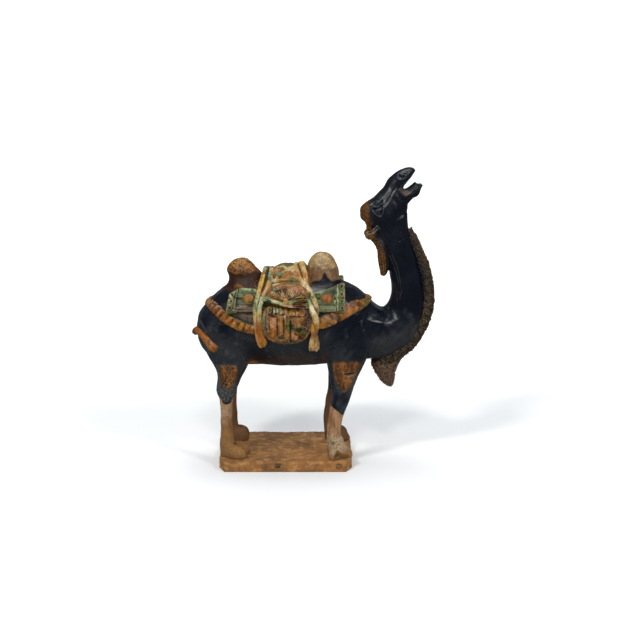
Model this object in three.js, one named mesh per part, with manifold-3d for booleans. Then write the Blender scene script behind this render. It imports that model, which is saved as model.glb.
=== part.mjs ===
// A three-colour glazed pottery camel: a Bactrian camel that throws its head back with an open mouth,
// loaded between the humps, luted on a low plinth with cut corners.
// Millimetres, +Z up. The camel faces +X. The origin is the middle of the plinth's underside.
import * as THREE from "three";
import { mergeVertices } from "three/addons/utils/BufferGeometryUtils.js";
import Module from "manifold-3d";

const wasm = await Module();
wasm.setup();

// Driving dimensions
const figureHeight = 520; // soles to the tip of the upper lip
const plinthLength = 244;
const plinthDepth = 170;
const plinthHeight = 20;
const plinthCornerCutX = 12; // how much of each corner is cut away along the length
const plinthCornerCutY = 24; // and along the depth
const sampleHoleRadius = 5; // the two holes drilled in the plinth's long edge
const sampleHoleDepth = 6;
const sampleHoleSpacing = 109;
const sampleHoleOffset = 33; // the middle of the two holes, from the plinth's middle

// The figure is drawn on a grid that is 520 steps high, so a step is 1 mm at the real height.
const step = figureHeight / 520;

// Sizes on that grid
const legSpread = 46; // each foot's middle to the middle plane
const maneRuffle = 1.3;
const tailRadius = 7;
const hemThickness = 7;
const hemHalfHeight = 10;
const pleatPitch = 15;
const creaseShare = 0.45; // how thick the hem is between two pleats, as a share
const hemLean = 0.6;
const barrelHeight = 225;
const boardLength = 202;
const boardMiddle = 5;
const boardWidth = 50; // at its ends
const boardWaist = 9; // how much lower its upper edge runs in the middle
const boardDepth = 16; // its back is buried in the flank
const boardTilt = 0.6; // radians, its face leans back on the flank
const boardFaceY = 61;
const boardZ = 295;
const boardEndStrip = 12;
const stripProud = 1.2; // how far an end strip stands out of the board all round
const boardRibs = 4;
const ribDepth = 2.5;
const studRadius = 10;
const studFlatness = 0.7;
const studPlaces = [-62, 72];
const strandRadius = 5.8;
const strandOffset = 4.6; // a strand's middle from the rope's middle
const looseTwist = 160; // length of one turn of the rear rope
const tightTwist = 54; // and of the front rope

// Small forms of the head, for its left side: radii, place, turn about X, Y and Z, and how many facets
const eyeball = { radii: [9, 5, 6.5], place: [166, 22, 447], turn: [0, -0.75, 0], facets: [8, 4] };
const brow = { radii: [13, 4, 3.5], place: [164, 22, 456], turn: [0, -0.8, 0.1], facets: [6, 4] };
const laidBackEar = { radii: [15, 6, 8.5], place: [157, 16, 400], turn: [0, -0.3, -0.24], facets: [7, 4] };
const nostrilRim = { radii: [6, 3, 4], place: [207, 15.5, 505], turn: [0, -0.6, 0], facets: [6, 3] };
const pollTuft = { radii: [12, 15, 20], place: [146, 0, 433], turn: [0, 0.3, 0], facets: [8, 5] };
const tailKnob = { radii: [10, 7, 8], place: [-125, -58, 192], turn: [0, 0.9, 0], facets: [6, 4] };

// A toe, and how the two toes of a foot lie about the leg's middle
const toeRadii = [26, 12.5, 21];
const toeHeight = 4;
const toeReach = [14, 10.5];
const toeSplay = 0.17;

// Cross-sections, each as [x, z] of its upper or front-of-leg point, [x, z] of the point opposite, and half its width
const torsoSections = [
  [-163, 236, -163, 222, 6],
  [-158, 256, -158, 204, 26],
  [-146, 275, -147, 186, 44],
  [-127, 294, -127, 171, 58],
  [-96, 313, -96, 163, 68],
  [-50, 320, -50, 162, 73],
  [0, 320, 0, 160, 74],
  [50, 320, 50, 161, 73],
  [90, 319, 90, 165, 69],
  [120, 310, 120, 168, 63],
  [145, 292, 147, 172, 55],
  [160, 270, 166, 186, 42],
  [170, 245, 174, 215, 18],
];
const neckSections = [
  [100, 312, 128, 171, 60],
  [142, 294, 184, 173, 51],
  [162, 275, 220, 192, 43],
  [177, 268, 243, 218, 37],
  [189, 279, 253, 250, 33.5],
  [193, 300, 256, 284, 31],
  [190, 328, 249, 322, 29],
  [184, 355, 240, 356, 27.5],
  [175, 383, 229, 388, 26],
  [161, 404, 222, 413, 25],
  [148, 422, 219, 440, 22],
];
const headSections = [
  [134, 443, 140, 430, 7],
  [137, 451, 150, 413, 17],
  [146, 459, 174, 408, 24],
  [158, 467, 199, 416, 27],
  [168, 477, 214, 432, 24.5],
  [177, 488, 220, 455, 20.5],
  [185, 499, 219, 478, 17.5],
  [198, 511, 221, 491, 17.5],
  [213, 518, 227, 500, 16.5],
  [227, 520, 234, 509, 12],
  [235, 517, 238, 512, 4],
];
const lowerJawSections = [
  [200, 478, 208, 440, 15],
  [213, 484, 222, 459, 14],
  [224, 492, 232, 465, 12.5],
  [233, 496, 240, 470, 11.5],
  [241, 493, 246, 478, 9],
  [246, 488, 248, 484, 4],
];
const throatManeSections = [
  [212, 420, 222, 430, 7],
  [218, 397, 234, 405, 13],
  [229, 368, 248, 374, 16.5],
  [241, 332, 263, 337, 18],
  [246, 286, 271, 284, 19],
  [238, 248, 263, 240, 20.5],
  [212, 212, 240, 197, 22],
  [176, 192, 218, 177, 25],
  [159, 165, 207, 160, 23],
  [167, 143, 201, 140, 16],
  [181, 125, 200, 126, 9],
  [190, 118, 196, 118, 3.5],
];
const napeLockSections = [
  [146, 402, 176, 408, 17],
  [163, 378, 190, 384, 15],
  [168, 352, 193, 352, 12],
  [171, 336, 189, 335, 9],
  [172, 327, 184, 329, 4],
];
const rearHumpSections = [
  [-120, 292, -30, 296, 46],
  [-105, 314, -38, 318, 34],
  [-104, 330, -43, 333, 29],
  [-106, 344, -51, 346, 26],
  [-98, 355, -62, 354, 19],
  [-87, 359.5, -75, 359, 6],
];
const frontHumpSections = [
  [34, 294, 118, 296, 46],
  [41, 314, 107, 320, 36],
  [43, 338, 99, 338, 29],
  [49, 356, 91, 355, 23],
  [57, 367, 82, 366, 14],
  [66, 370.5, 74, 370.5, 4],
];
// A leg's sections also say how far its middle stands out from the middle plane, as a share of the spread
const hindLegSections = [
  [-46, 222, -150, 222, 24, 0.82],
  [-58, 188, -141, 190, 25, 0.9],
  [-72, 160, -125, 162, 21, 0.96],
  [-83, 136, -123, 137, 15.5, 1],
  [-91, 118, -125, 121, 13, 1],
  [-96, 98, -119, 100, 11, 1],
  [-97, 62, -119, 62, 10.5, 1],
  [-96, 34, -120, 34, 12, 1],
  [-93, 16, -121, 16, 15, 1],
  [-91, -8, -120, -8, 16, 1],
];
const foreLegSections = [
  [154, 214, 66, 214, 24, 0.8],
  [149, 184, 74, 186, 24, 0.86],
  [137, 158, 79, 158, 20.5, 0.94],
  [125, 130, 83, 130, 17, 1],
  [118, 106, 83, 106, 14.5, 1],
  [106, 76, 79, 78, 12, 1],
  [101, 50, 75, 50, 11.5, 1],
  [102, 34, 75, 34, 13, 1],
  [104, 16, 76, 16, 15.5, 1],
  [104, -8, 78, -8, 16, 1],
];

// A closed geometry as a solid that can be joined and cut, turned right side out if it was inside out
function solidOf(geometry) {
  const bare = geometry.clone();
  bare.deleteAttribute("normal");
  bare.deleteAttribute("uv");
  const merged = mergeVertices(bare, 1e-4);
  const vertProperties = new Float32Array(merged.attributes.position.array);
  const triVerts = new Uint32Array(merged.index.array);
  const solid = new wasm.Manifold(new wasm.Mesh({ numProp: 3, vertProperties, triVerts }));
  if (solid.volume() > 0) return solid;
  return new wasm.Manifold(new wasm.Mesh({ numProp: 3, vertProperties, triVerts: triVerts.reverse() }));
}

function geometryOf(solid) {
  const mesh = solid.getMesh();
  const geometry = new THREE.BufferGeometry();
  geometry.setAttribute("position", new THREE.BufferAttribute(mesh.vertProperties, 3));
  geometry.setIndex(new THREE.BufferAttribute(mesh.triVerts, 1));
  geometry.computeVertexNormals();
  return geometry;
}

const joined = (solids) => solids.reduce((all, next) => all.add(next));

// The sine or cosine of a section's corner angle, squared off a little when power is over 2
const roundedOff = (value, power) => Math.sign(value) * Math.abs(value) ** (2 / power);

// The section at share t of a run of sections, on a smooth curve through all of them
function sectionCurve(sections) {
  const smooth = (points) => new THREE.CatmullRomCurve3(points, false, "catmullrom", 0.5);
  const upper = smooth(sections.map(([x, z]) => new THREE.Vector3(x, 0, z)));
  const lower = smooth(sections.map((row) => new THREE.Vector3(row[2], 0, row[3])));
  const width = smooth(sections.map((row) => new THREE.Vector3(row[4], row[5] ?? 0, 0)));
  return (t) => {
    const { x: halfWidth, y: standOut } = width.getPoint(t);
    return { upper: upper.getPoint(t), lower: lower.getPoint(t), halfWidth, standOut };
  };
}

// A closed skin over cross-sections: a cylinder whose rings are moved onto them.
// side is 1 or -1 for a limb on that side, shift moves it along the length, and ruffle swells every second ring.
function skin(sections, sides, rings, { side = 0, shift = 0, power = 2, ruffle = 0 } = {}) {
  const geometry = new THREE.CylinderGeometry(1, 1, 1, sides, rings);
  const at = sectionCurve(sections);
  const position = geometry.attributes.position;
  const place = new THREE.Vector3();
  for (let i = 0; i < position.count; i++) {
    const t = 0.5 - position.getY(i);
    const { upper, lower, halfWidth, standOut } = at(t);
    const swell = Math.round(t * rings) % 2 ? ruffle : 0;
    const half = upper.clone().sub(lower).multiplyScalar(0.5);
    half.multiplyScalar(1 + swell / half.length());
    place.addVectors(upper, lower).multiplyScalar(0.5);
    place.addScaledVector(half, roundedOff(position.getZ(i), power));
    place.y = side * standOut * legSpread + (halfWidth + swell) * roundedOff(position.getX(i), power);
    place.x += shift;
    position.setXYZ(i, place.x, place.y, place.z);
  }
  return solidOf(geometry);
}

// A sphere stretched to its radii, turned and set in place, mirrored for the right side
function pebble({ radii, place, turn = [0, 0, 0], facets }, side = 1) {
  const geometry = new THREE.SphereGeometry(1, ...facets);
  geometry.scale(...radii);
  geometry.applyMatrix4(new THREE.Matrix4().makeRotationFromEuler(new THREE.Euler(...turn)));
  geometry.translate(...place);
  geometry.scale(1, side, 1);
  return solidOf(geometry);
}

// A round cord of a few sides along a curve
function cord(curve, radius, sides, steps) {
  const round = new THREE.Shape();
  for (let i = 0; i < sides; i++) {
    const angle = (2 * Math.PI * i) / sides;
    const corner = [radius * Math.cos(angle), radius * Math.sin(angle)];
    if (i === 0) round.moveTo(...corner);
    else round.lineTo(...corner);
  }
  return solidOf(new THREE.ExtrudeGeometry(round, { steps, extrudePath: curve, bevelEnabled: false }));
}

const torsoPower = 2.15;

const body = () =>
  joined([
    skin(torsoSections, 14, 12, { power: torsoPower }),
    skin(neckSections, 12, 12),
    skin(rearHumpSections, 10, 6),
    skin(frontHumpSections, 10, 6),
  ]);

// The head, with the mouth open: the upper jaw belongs to the skull's skin, and the lower jaw is a skin of its own
function head() {
  const parts = [skin(headSections, 12, 15), skin(lowerJawSections, 8, 6), pebble(pollTuft)];
  for (const side of [-1, 1])
    for (const detail of [eyeball, brow, laidBackEar, nostrilRim]) parts.push(pebble(detail, side));
  return joined(parts);
}

const hair = () =>
  joined([
    skin(throatManeSections, 8, 22, { power: 2.3, ruffle: maneRuffle }),
    skin(napeLockSections, 6, 6),
  ]);

// The tail lies curled on the right haunch.
function tail() {
  const path = new THREE.CatmullRomCurve3([
    new THREE.Vector3(-148, 6, 232),
    new THREE.Vector3(-165, -2, 222),
    new THREE.Vector3(-157, -26, 228),
    new THREE.Vector3(-140, -50, 212),
    new THREE.Vector3(-124, -60, 190),
  ]);
  return cord(path, tailRadius, 5, 7).add(pebble(tailKnob));
}

// A foot of two toes that part at the front. heading turns it outwards.
function foot(x, side, heading) {
  const toes = [-1, 1].map((toe) => {
    const splay = heading * side + toe * toeSplay;
    const reach = new THREE.Vector2(toeReach[0], toe * toeReach[1]);
    reach.rotateAround(new THREE.Vector2(0, 0), heading * side);
    const place = [x + reach.x, side * legSpread + reach.y, toeHeight];
    return pebble({ radii: toeRadii, place, turn: [0, 0, splay], facets: [7, 4] });
  });
  return joined(toes);
}

// Where each leg stands: how far it is shifted along the length, and which way its foot heads
const stance = [
  { sections: hindLegSections, footX: -104, side: -1, shift: 0, heading: 0.12 },
  { sections: hindLegSections, footX: -104, side: 1, shift: 3, heading: 0.05 },
  { sections: foreLegSections, footX: 88, side: -1, shift: 0, heading: 0.95 },
  { sections: foreLegSections, footX: 88, side: 1, shift: -3, heading: 0.1 },
];

const legs = () =>
  joined(
    stance.flatMap(({ sections, footX, side, shift, heading }) => [
      skin(sections, 8, 9, { side, shift }),
      foot(footX + shift, side, heading),
    ]),
  );

// The saddle blanket's hem, as [x, distance from the middle plane, z] from behind the rear hump to the withers
const hemLine = [
  [-137, 0, 277],
  [-132, 26, 278],
  [-120, 51, 273],
  [-98, 65, 257],
  [-60, 73, 243],
  [0, 74, 238],
  [60, 72, 250],
  [107, 61, 269],
  [134, 46, 279],
  [147, 29, 279],
  [153, 0, 277],
];

// The hem is one thick roll all round, drawn in between its pleats. It leans out from a line through the barrel.
function hemPleats() {
  const farSide = hemLine.slice(1, -1).reverse();
  const curve = new THREE.CatmullRomCurve3(
    [...hemLine, ...farSide.map(([x, y, z]) => [x, -y, z])].map((point) => new THREE.Vector3(...point)),
    true,
  );
  const steps = 2 * Math.round(curve.getLength() / pleatPitch);
  const roll = new THREE.TorusGeometry(2, 1, 3, steps);
  const position = roll.attributes.position;
  const place = new THREE.Vector3();
  for (let i = 0; i < position.count; i++) {
    const turn = Math.atan2(position.getY(i), position.getX(i)) / (2 * Math.PI);
    const at = (Math.round(turn * steps) + steps) % steps;
    const middle = curve.getPointAt(at / steps);
    const along = curve.getTangentAt(at / steps);
    const out = new THREE.Vector3(0, middle.y, hemLean * (middle.z - barrelHeight)).normalize();
    const down = new THREE.Vector3().crossVectors(along, out).normalize();
    const outward = new THREE.Vector3().crossVectors(down, along).normalize();
    const reach = Math.hypot(position.getX(i), position.getY(i)) - 2;
    place.copy(middle);
    place.addScaledVector(outward, reach * hemThickness * (at % 2 ? 1 : creaseShare));
    place.addScaledVector(down, position.getZ(i) * hemHalfHeight);
    position.setXYZ(i, place.x, place.y, place.z);
  }
  return solidOf(roll);
}

// The ribbed boards of the pack frame lie on both flanks and show beyond the ropes, each end with a stud.
function packBoards() {
  const half = boardWidth / 2;
  const outline = new THREE.Shape();
  outline.moveTo(boardDepth, -half);
  for (let i = 0; i < boardRibs; i++) {
    const low = -half + (i * boardWidth) / boardRibs;
    const high = low + boardWidth / boardRibs;
    outline.lineTo(i === boardRibs / 2 ? 2 * ribDepth : ribDepth, low);
    outline.lineTo(0, (low + high) / 2);
  }
  outline.lineTo(ribDepth, half);
  outline.lineTo(boardDepth, half);
  const parts = [];
  for (const side of [-1, 1]) {
    const place = (geometry) => {
      const position = geometry.attributes.position;
      for (let i = 0; i < position.count; i++) {
        const sink = boardWaist * (1 - (position.getX(i) / (boardLength / 2)) ** 2);
        position.setZ(i, position.getZ(i) - sink * Math.max(0, position.getZ(i) / half));
      }
      geometry.rotateX(-boardTilt).translate(boardMiddle, -boardFaceY, boardZ);
      if (side > 0) geometry.scale(1, -1, 1);
      parts.push(solidOf(geometry));
    };
    const board = new THREE.ExtrudeGeometry(outline, { depth: boardLength, steps: 3, bevelEnabled: false });
    place(board.translate(0, 0, -boardLength / 2).rotateY(Math.PI / 2).rotateX(Math.PI / 2));
    for (const end of [-1, 1]) {
      const strip = new THREE.BoxGeometry(boardEndStrip, boardDepth, boardWidth + 2 * stripProud);
      const stripX = end * (boardLength / 2 + stripProud - boardEndStrip / 2);
      place(strip.translate(stripX, boardDepth / 2 - stripProud, 0));
    }
    for (const x of studPlaces) {
      const stud = new THREE.SphereGeometry(studRadius, 8, 4).scale(1, studFlatness, 1);
      place(stud.translate(x - boardMiddle, 0, 0));
    }
  }
  return joined(parts);
}

// A bag's or a bundle's round form: every second line from pole to pole stands proud, so it hangs in folds.
function foldedForm({ radii, powers, folds, down, proudBy = 0 }) {
  const geometry = new THREE.SphereGeometry(1, 2 * folds, down).rotateX(Math.PI / 2);
  const position = geometry.attributes.position;
  for (let i = 0; i < position.count; i++) {
    const [x, y, z] = [position.getX(i), position.getY(i), position.getZ(i)];
    const line = Math.round((Math.atan2(y, x) / Math.PI) * folds);
    const proud = line % 2 ? proudBy * Math.hypot(x, y) : 0;
    position.setXYZ(
      i,
      (radii[0] + proud) * roundedOff(x, powers[0]),
      (radii[1] + proud) * roundedOff(y, powers[1]),
      radii[2] * roundedOff(z, powers[2]),
    );
  }
  return geometry;
}

// The load: a bolster over the back, and on each flank a pleated bag whose mouth is gathered, tied and knotted
const bolster = { radii: [46, 62, 51], powers: [2.6, 2.2, 2.2], folds: 6, down: 7 };
const bolsterPlace = [8, 0, 297];
const bag = { radii: [42, 25, 37], powers: [2.6, 2.4, 2.6], folds: 8, down: 7, proudBy: 4 };
const bagPlace = [4.5, 71, 254];
const bagMouth = { radii: [35, 21, 20], powers: [2.2, 2, 2], folds: 7, down: 4, proudBy: 4 };
const mouthPlace = [7.5, 70, 302];
const mouthTurn = 1.12; // radians, so that the folds of its mouth meet at the knot
const knot = { radii: [7.5, 7, 7], place: [5.5, 92, 293], facets: [6, 4] };
const tieRadius = 4;
const tieLine = [
  [-36, 76, 293],
  [-18, 90, 291],
  [5, 95, 288],
  [28, 91, 291],
  [44, 78, 293],
];

function load() {
  const parts = [solidOf(foldedForm(bolster).translate(...bolsterPlace))];
  for (const side of [-1, 1]) {
    const mirrored = (geometry) => solidOf(geometry.scale(1, side, 1));
    const tie = new THREE.CatmullRomCurve3(tieLine.map(([x, y, z]) => new THREE.Vector3(x, side * y, z)));
    parts.push(
      mirrored(foldedForm(bag).translate(...bagPlace)),
      mirrored(foldedForm(bagMouth).rotateX(mouthTurn).translate(...mouthPlace)),
      pebble(knot, side),
      cord(tie, tieRadius, 4, 6),
    );
  }
  return joined(parts);
}

// A rope's middle line from the top of the load to its end on the flank, as [x, distance from the middle plane, z]
const rearRope = [
  [-30, 0, 337],
  [-33, 30, 329],
  [-39, 53, 313],
  [-43, 68, 297],
  [-46, 78, 277],
  [-43, 81, 243],
  [-37, 76, 214],
];
const frontRope = [
  [30, 0, 346],
  [35, 26, 339],
  [43, 50, 319],
  [49, 66, 303],
  [55, 76, 285],
  [56, 81, 266],
  [52, 80, 240],
  [52, 72, 204],
];

// A rope of two strands laid together: its section is two lobes, and it turns as it goes.
function rope(half, twistLength) {
  const place = (side) => ([x, y, z]) => new THREE.Vector3(x, side * y, z);
  const middle = new THREE.CatmullRomCurve3([
    ...half.slice(1).reverse().map(place(-1)),
    ...half.map(place(1)),
  ]);
  const turns = middle.getLength() / twistLength;
  const geometry = new THREE.CylinderGeometry(1, 1, 1, 6, Math.round(12 + 6 * turns));
  const position = geometry.attributes.position;
  const point = new THREE.Vector3();
  for (let i = 0; i < position.count; i++) {
    const t = THREE.MathUtils.clamp(0.5 - position.getY(i), 0, 1);
    const tangent = middle.getTangentAt(t);
    const aside = new THREE.Vector3(1, 0, 0).cross(tangent).cross(tangent).normalize();
    aside.applyAxisAngle(tangent, 2 * Math.PI * (t - 0.5) * turns);
    const across = new THREE.Vector3().crossVectors(tangent, aside);
    const [u, v] = [position.getZ(i), position.getX(i)];
    point.copy(middle.getPointAt(t));
    point.addScaledVector(aside, u * (strandOffset + strandRadius));
    point.addScaledVector(across, v * strandRadius);
    position.setXYZ(i, point.x, point.y, point.z);
  }
  return solidOf(geometry);
}

const ropes = () => joined([rope(rearRope, looseTwist), rope(frontRope, tightTwist)]);

function camel() {
  const whole = joined([
    body(),
    head(),
    hair(),
    tail(),
    legs(),
    hemPleats(),
    packBoards(),
    load(),
    ropes(),
  ]);
  const ground = new THREE.BoxGeometry(600, 400, 100).translate(0, 0, -50);
  const geometry = geometryOf(whole.subtract(solidOf(ground)));
  geometry.scale(step, step, step);
  const glaze = new THREE.MeshStandardMaterial({ color: 0x14161d, roughness: 0.25, metalness: 0 });
  const mesh = new THREE.Mesh(geometry, glaze);
  mesh.name = "camel";
  mesh.position.z = plinthHeight;
  return mesh;
}

// A slab with its four upright corners cut, and two shallow holes drilled in the long edge that faces -Y
function plinth() {
  const [x, y] = [plinthLength / 2, plinthDepth / 2];
  const outline = new THREE.Shape(
    [
      [-x + plinthCornerCutX, -y],
      [x - plinthCornerCutX, -y],
      [x, -y + plinthCornerCutY],
      [x, y - plinthCornerCutY],
      [x - plinthCornerCutX, y],
      [-x + plinthCornerCutX, y],
      [-x, y - plinthCornerCutY],
      [-x, -y + plinthCornerCutY],
    ].map((corner) => new THREE.Vector2(...corner)),
  );
  let slab = solidOf(new THREE.ExtrudeGeometry(outline, { depth: plinthHeight, bevelEnabled: false }));
  for (const end of [-0.5, 0.5]) {
    const drill = new THREE.CylinderGeometry(sampleHoleRadius, sampleHoleRadius, 2 * sampleHoleDepth, 12);
    drill.translate(sampleHoleOffset + end * sampleHoleSpacing, -y, plinthHeight / 2);
    slab = slab.subtract(solidOf(drill));
  }
  const clay = new THREE.MeshStandardMaterial({ color: 0x9a7048, roughness: 0.9, metalness: 0 });
  const mesh = new THREE.Mesh(geometryOf(slab), clay);
  mesh.name = "plinth";
  return mesh;
}

const group = new THREE.Group();
group.add(plinth(), camel());

export default group;
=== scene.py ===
# A three-colour glazed pottery camel with its load, standing on a low unglazed plinth.
import math

import bmesh
import bpy
import numpy as np
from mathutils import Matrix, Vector


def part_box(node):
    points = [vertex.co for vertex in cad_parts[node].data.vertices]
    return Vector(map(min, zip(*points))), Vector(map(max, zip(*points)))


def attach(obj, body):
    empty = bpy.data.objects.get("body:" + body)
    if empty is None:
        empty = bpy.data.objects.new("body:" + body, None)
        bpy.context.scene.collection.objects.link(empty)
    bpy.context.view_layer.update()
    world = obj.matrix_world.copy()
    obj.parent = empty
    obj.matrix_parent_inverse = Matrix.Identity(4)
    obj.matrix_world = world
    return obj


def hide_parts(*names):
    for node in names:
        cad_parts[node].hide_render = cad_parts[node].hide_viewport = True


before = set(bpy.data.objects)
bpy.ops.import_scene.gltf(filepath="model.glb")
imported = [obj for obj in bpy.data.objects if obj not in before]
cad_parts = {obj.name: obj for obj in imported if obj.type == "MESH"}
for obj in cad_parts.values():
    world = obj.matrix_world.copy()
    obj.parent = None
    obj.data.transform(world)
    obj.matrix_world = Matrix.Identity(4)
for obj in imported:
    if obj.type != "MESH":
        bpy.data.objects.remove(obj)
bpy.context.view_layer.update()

# The figure keeps the grid of its solid: 520 steps from its soles to its lip, x along it, y to its left.
# A step is about a millimetre, and all sizes of the figure below are in steps.
gridHeight = 520
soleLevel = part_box("plinth")[1][2]
gridStep = (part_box("camel")[1][2] - soleLevel) / gridHeight
legSpread = 46
mergeDistance = 0.001  # a thousandth of a step, and a millimetre on the plugs, which are made in metres


def linear(hexColour):
    # an sRGB hex colour as the linear numbers that Blender wants
    parts = [int(hexColour[i:i + 2], 16) / 255 for i in (1, 3, 5)]
    return [c / 12.92 if c < 0.04045 else ((c + 0.055) / 1.055) ** 2.4 for c in parts] + [1]


def unit(vectors):
    return vectors / np.maximum(np.linalg.norm(vectors, axis=-1, keepdims=True), 1e-9)


def ease(low, high, value):
    # from 0 at low to 1 at high, which may be the smaller number
    share = np.clip((value - low) / (high - low), 0, 1)
    return share * share * (3 - 2 * share)


def within(value, start, full, fading, end):
    # 1 from full to fading, eased to 0 at start and end
    return ease(start, full, value) * ease(end, fading, value)


def ridge(value, middle, width):
    # a rounded hump of height 1 over the middle
    return np.exp(-(((value - middle) / width) ** 2))


def circle(x, z, wide, high):
    # eight points round a ring that is seen from the side
    return [(x + wide * math.cos(a), z + high * math.sin(a)) for a in np.arange(8) * math.pi / 4]


def roundedOff(value, power):
    # a sine or cosine, squared off where power is over 2
    return np.sign(value) * np.abs(value) ** (2 / power)


def curveAt(points, share, closed=False):
    # a smooth curve through all points, at each share from 0 to 1
    points = np.asarray(points, float)
    if closed:
        points = np.vstack([points, points[:1]])
        before, after = points[-2], points[1]
    else:
        before, after = 2 * points[0] - points[1], 2 * points[-1] - points[-2]
    padded = np.vstack([before, points, after])
    place = np.clip(share, 0, 1) * (len(points) - 1)
    index = np.minimum(place.astype(int), len(points) - 2)
    f = (place - index)[:, None]
    p0, p1, p2, p3 = (padded[index + k] for k in range(4))
    bend = 2 * f**3 - 3 * f**2
    leaving, arriving = f**3 - 2 * f**2 + f, f**3 - f**2
    return (bend + 1) * p1 - bend * p2 + (leaving * (p2 - p0) + arriving * (p3 - p1)) / 2


def evenCurve(points, count, closed=False):
    # count points at even distances on that curve, and its length
    dense = curveAt(points, np.linspace(0, 1, 60 * len(points)), closed)
    run = np.concatenate([[0], np.cumsum(np.linalg.norm(np.diff(dense, axis=0), axis=1))])
    wanted = np.linspace(0, run[-1], count)
    return np.stack([np.interp(wanted, run, dense[:, k]) for k in range(dense.shape[1])], 1), run[-1]


def ripple(points, size, seed):
    # gentle unevenness about as long as size, the same at each run, mostly between -1 and 1
    chance = np.random.RandomState(seed)
    waves = unit(chance.normal(size=(9, 3))) * 2 * np.pi / size * chance.uniform(0.6, 1.5, (9, 1))
    return np.cos(points @ waves.T + chance.uniform(0, 2 * np.pi, 9)).sum(1) / 3


def readPoints(mesh):
    flat = np.empty(3 * len(mesh.vertices), np.float32)
    mesh.vertices.foreach_get("co", flat)
    return flat.reshape(-1, 3).astype(float)


def readNormals(mesh):
    flat = np.empty(3 * len(mesh.vertices), np.float32)
    mesh.vertex_normals.foreach_get("vector", flat)
    return flat.reshape(-1, 3).astype(float)


def setPoints(mesh, points):
    mesh.vertices.foreach_set("co", np.ascontiguousarray(points, np.float32).ravel())
    mesh.update()


def raisedBy(mesh, relief):
    # points moved outwards by a relief that is worked out from where they were, which is given back
    points, normals = readPoints(mesh), readNormals(mesh)
    setPoints(mesh, points + normals * relief(points)[:, None])
    return points


def added(name, data, place=(0, 0, 0), target=None):
    # an object in the scene, turned to look at its target if it has one
    made = bpy.data.objects.new(name, data)
    made.location = place
    if target:
        made.rotation_euler = (Vector(target) - Vector(place)).to_track_quat("-Z", "Y").to_euler()
    bpy.context.scene.collection.objects.link(made)
    return made


def toMesh(form, name="part"):
    mesh = bpy.data.meshes.new(name)
    form.to_mesh(mesh)
    form.free()
    return mesh


def writtenBack(form, mesh):
    form.to_mesh(mesh)
    form.free()
    mesh.update()
    return mesh


def closedUp(mesh):
    # the seam and the poles are merged, and the faces smoothed and turned outwards
    form = bmesh.new()
    form.from_mesh(mesh)
    bmesh.ops.remove_doubles(form, verts=form.verts, dist=mergeDistance)
    bmesh.ops.dissolve_degenerate(form, edges=form.edges, dist=mergeDistance)
    bmesh.ops.recalc_face_normals(form, faces=form.faces)
    for face in form.faces:
        face.smooth = True
    return writtenBack(form, mesh)


def wrapped(along, around, shape):
    # a flat grid rolled up: shape places its points from their share along (0 to 1) and around (0 to 1)
    form = bmesh.new()
    bmesh.ops.create_grid(form, x_segments=along, y_segments=around, size=0.5)
    mesh = toMesh(form)
    flat = readPoints(mesh)
    setPoints(mesh, shape(flat[:, 0] + 0.5, flat[:, 1] + 0.5))
    return closedUp(mesh)


def endsClosed(share, rings):
    # the share along a run of rings whose first and last row close the ends, and which rows are those rings
    row = np.round(share * (rings + 2))
    return np.clip((row - 1) / rings, 0, 1), (row > 0) & (row < rings + 2)


def skin(sections, sides=48, rings=64, side=0, shift=0, power=2):
    # a closed skin over cross-sections, on the same curves as the solid's
    table = np.array(sections, float)

    def shape(along, around):
        share, isRing = endsClosed(along, rings)
        upper, lower = curveAt(table[:, 0:2], share), curveAt(table[:, 2:4], share)
        widths = curveAt(table[:, 4:], share)
        turn = 2 * np.pi * around
        half = (upper - lower) / 2 * (isRing * roundedOff(np.cos(turn), power))[:, None]
        middle = (upper + lower) / 2 + half
        across = widths[:, 0] * isRing * roundedOff(np.sin(turn), power)
        if side:
            across = across + side * widths[:, 1] * legSpread
        return np.stack([middle[:, 0] + shift, across, middle[:, 1]], 1)

    return wrapped(rings + 2, sides, shape)


def turned(points, turn):
    # points turned about X, then Y, then Z as the solid's small forms are
    cx, cy, cz = np.cos(turn)
    sx, sy, sz = np.sin(turn)
    aboutX = np.array([[1, 0, 0], [0, cx, -sx], [0, sx, cx]])
    aboutY = np.array([[cy, 0, sy], [0, 1, 0], [-sy, 0, cy]])
    aboutZ = np.array([[cz, -sz, 0], [sz, cz, 0], [0, 0, 1]])
    return points @ (aboutX @ aboutY @ aboutZ).T


def pebble(radii, place, turn=(0, 0, 0), side=1, powers=(2, 2, 2), sides=32):
    # a ball stretched to its radii, squared off, turned and set in place, mirrored for the right side
    form = bmesh.new()
    bmesh.ops.create_uvsphere(form, u_segments=sides, v_segments=sides * 3 // 4, radius=1)
    mesh = toMesh(form)
    ball = readPoints(mesh)
    ball = np.stack([r * roundedOff(ball[:, k], p) for k, (r, p) in enumerate(zip(radii, powers))], 1)
    ball = turned(ball, turn) + place
    setPoints(mesh, ball * [1, side, 1])
    return closedUp(mesh)


def nearestOn(path, points, step=1):
    # for each point the index of the nearest place on a path, of which every step-th is tried
    return np.array([np.argmin(np.linalg.norm(path[::step] - p, axis=1)) * step for p in points])


def outwardFrame(path, closed=False):
    # at each point of a path: its direction, outwards from the barrel, and across both
    ahead = unit(np.gradient(path, axis=0))
    if closed:
        ahead[0] = ahead[-1] = unit(path[1] - path[-2])
    out = path * [0, 1, 0] + [0, 0, 1] * (path[:, 2:] - 225) * 0.6
    out = unit(out - ahead * np.sum(out * ahead, 1, keepdims=True))
    return ahead, out, np.cross(ahead, out)


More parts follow.
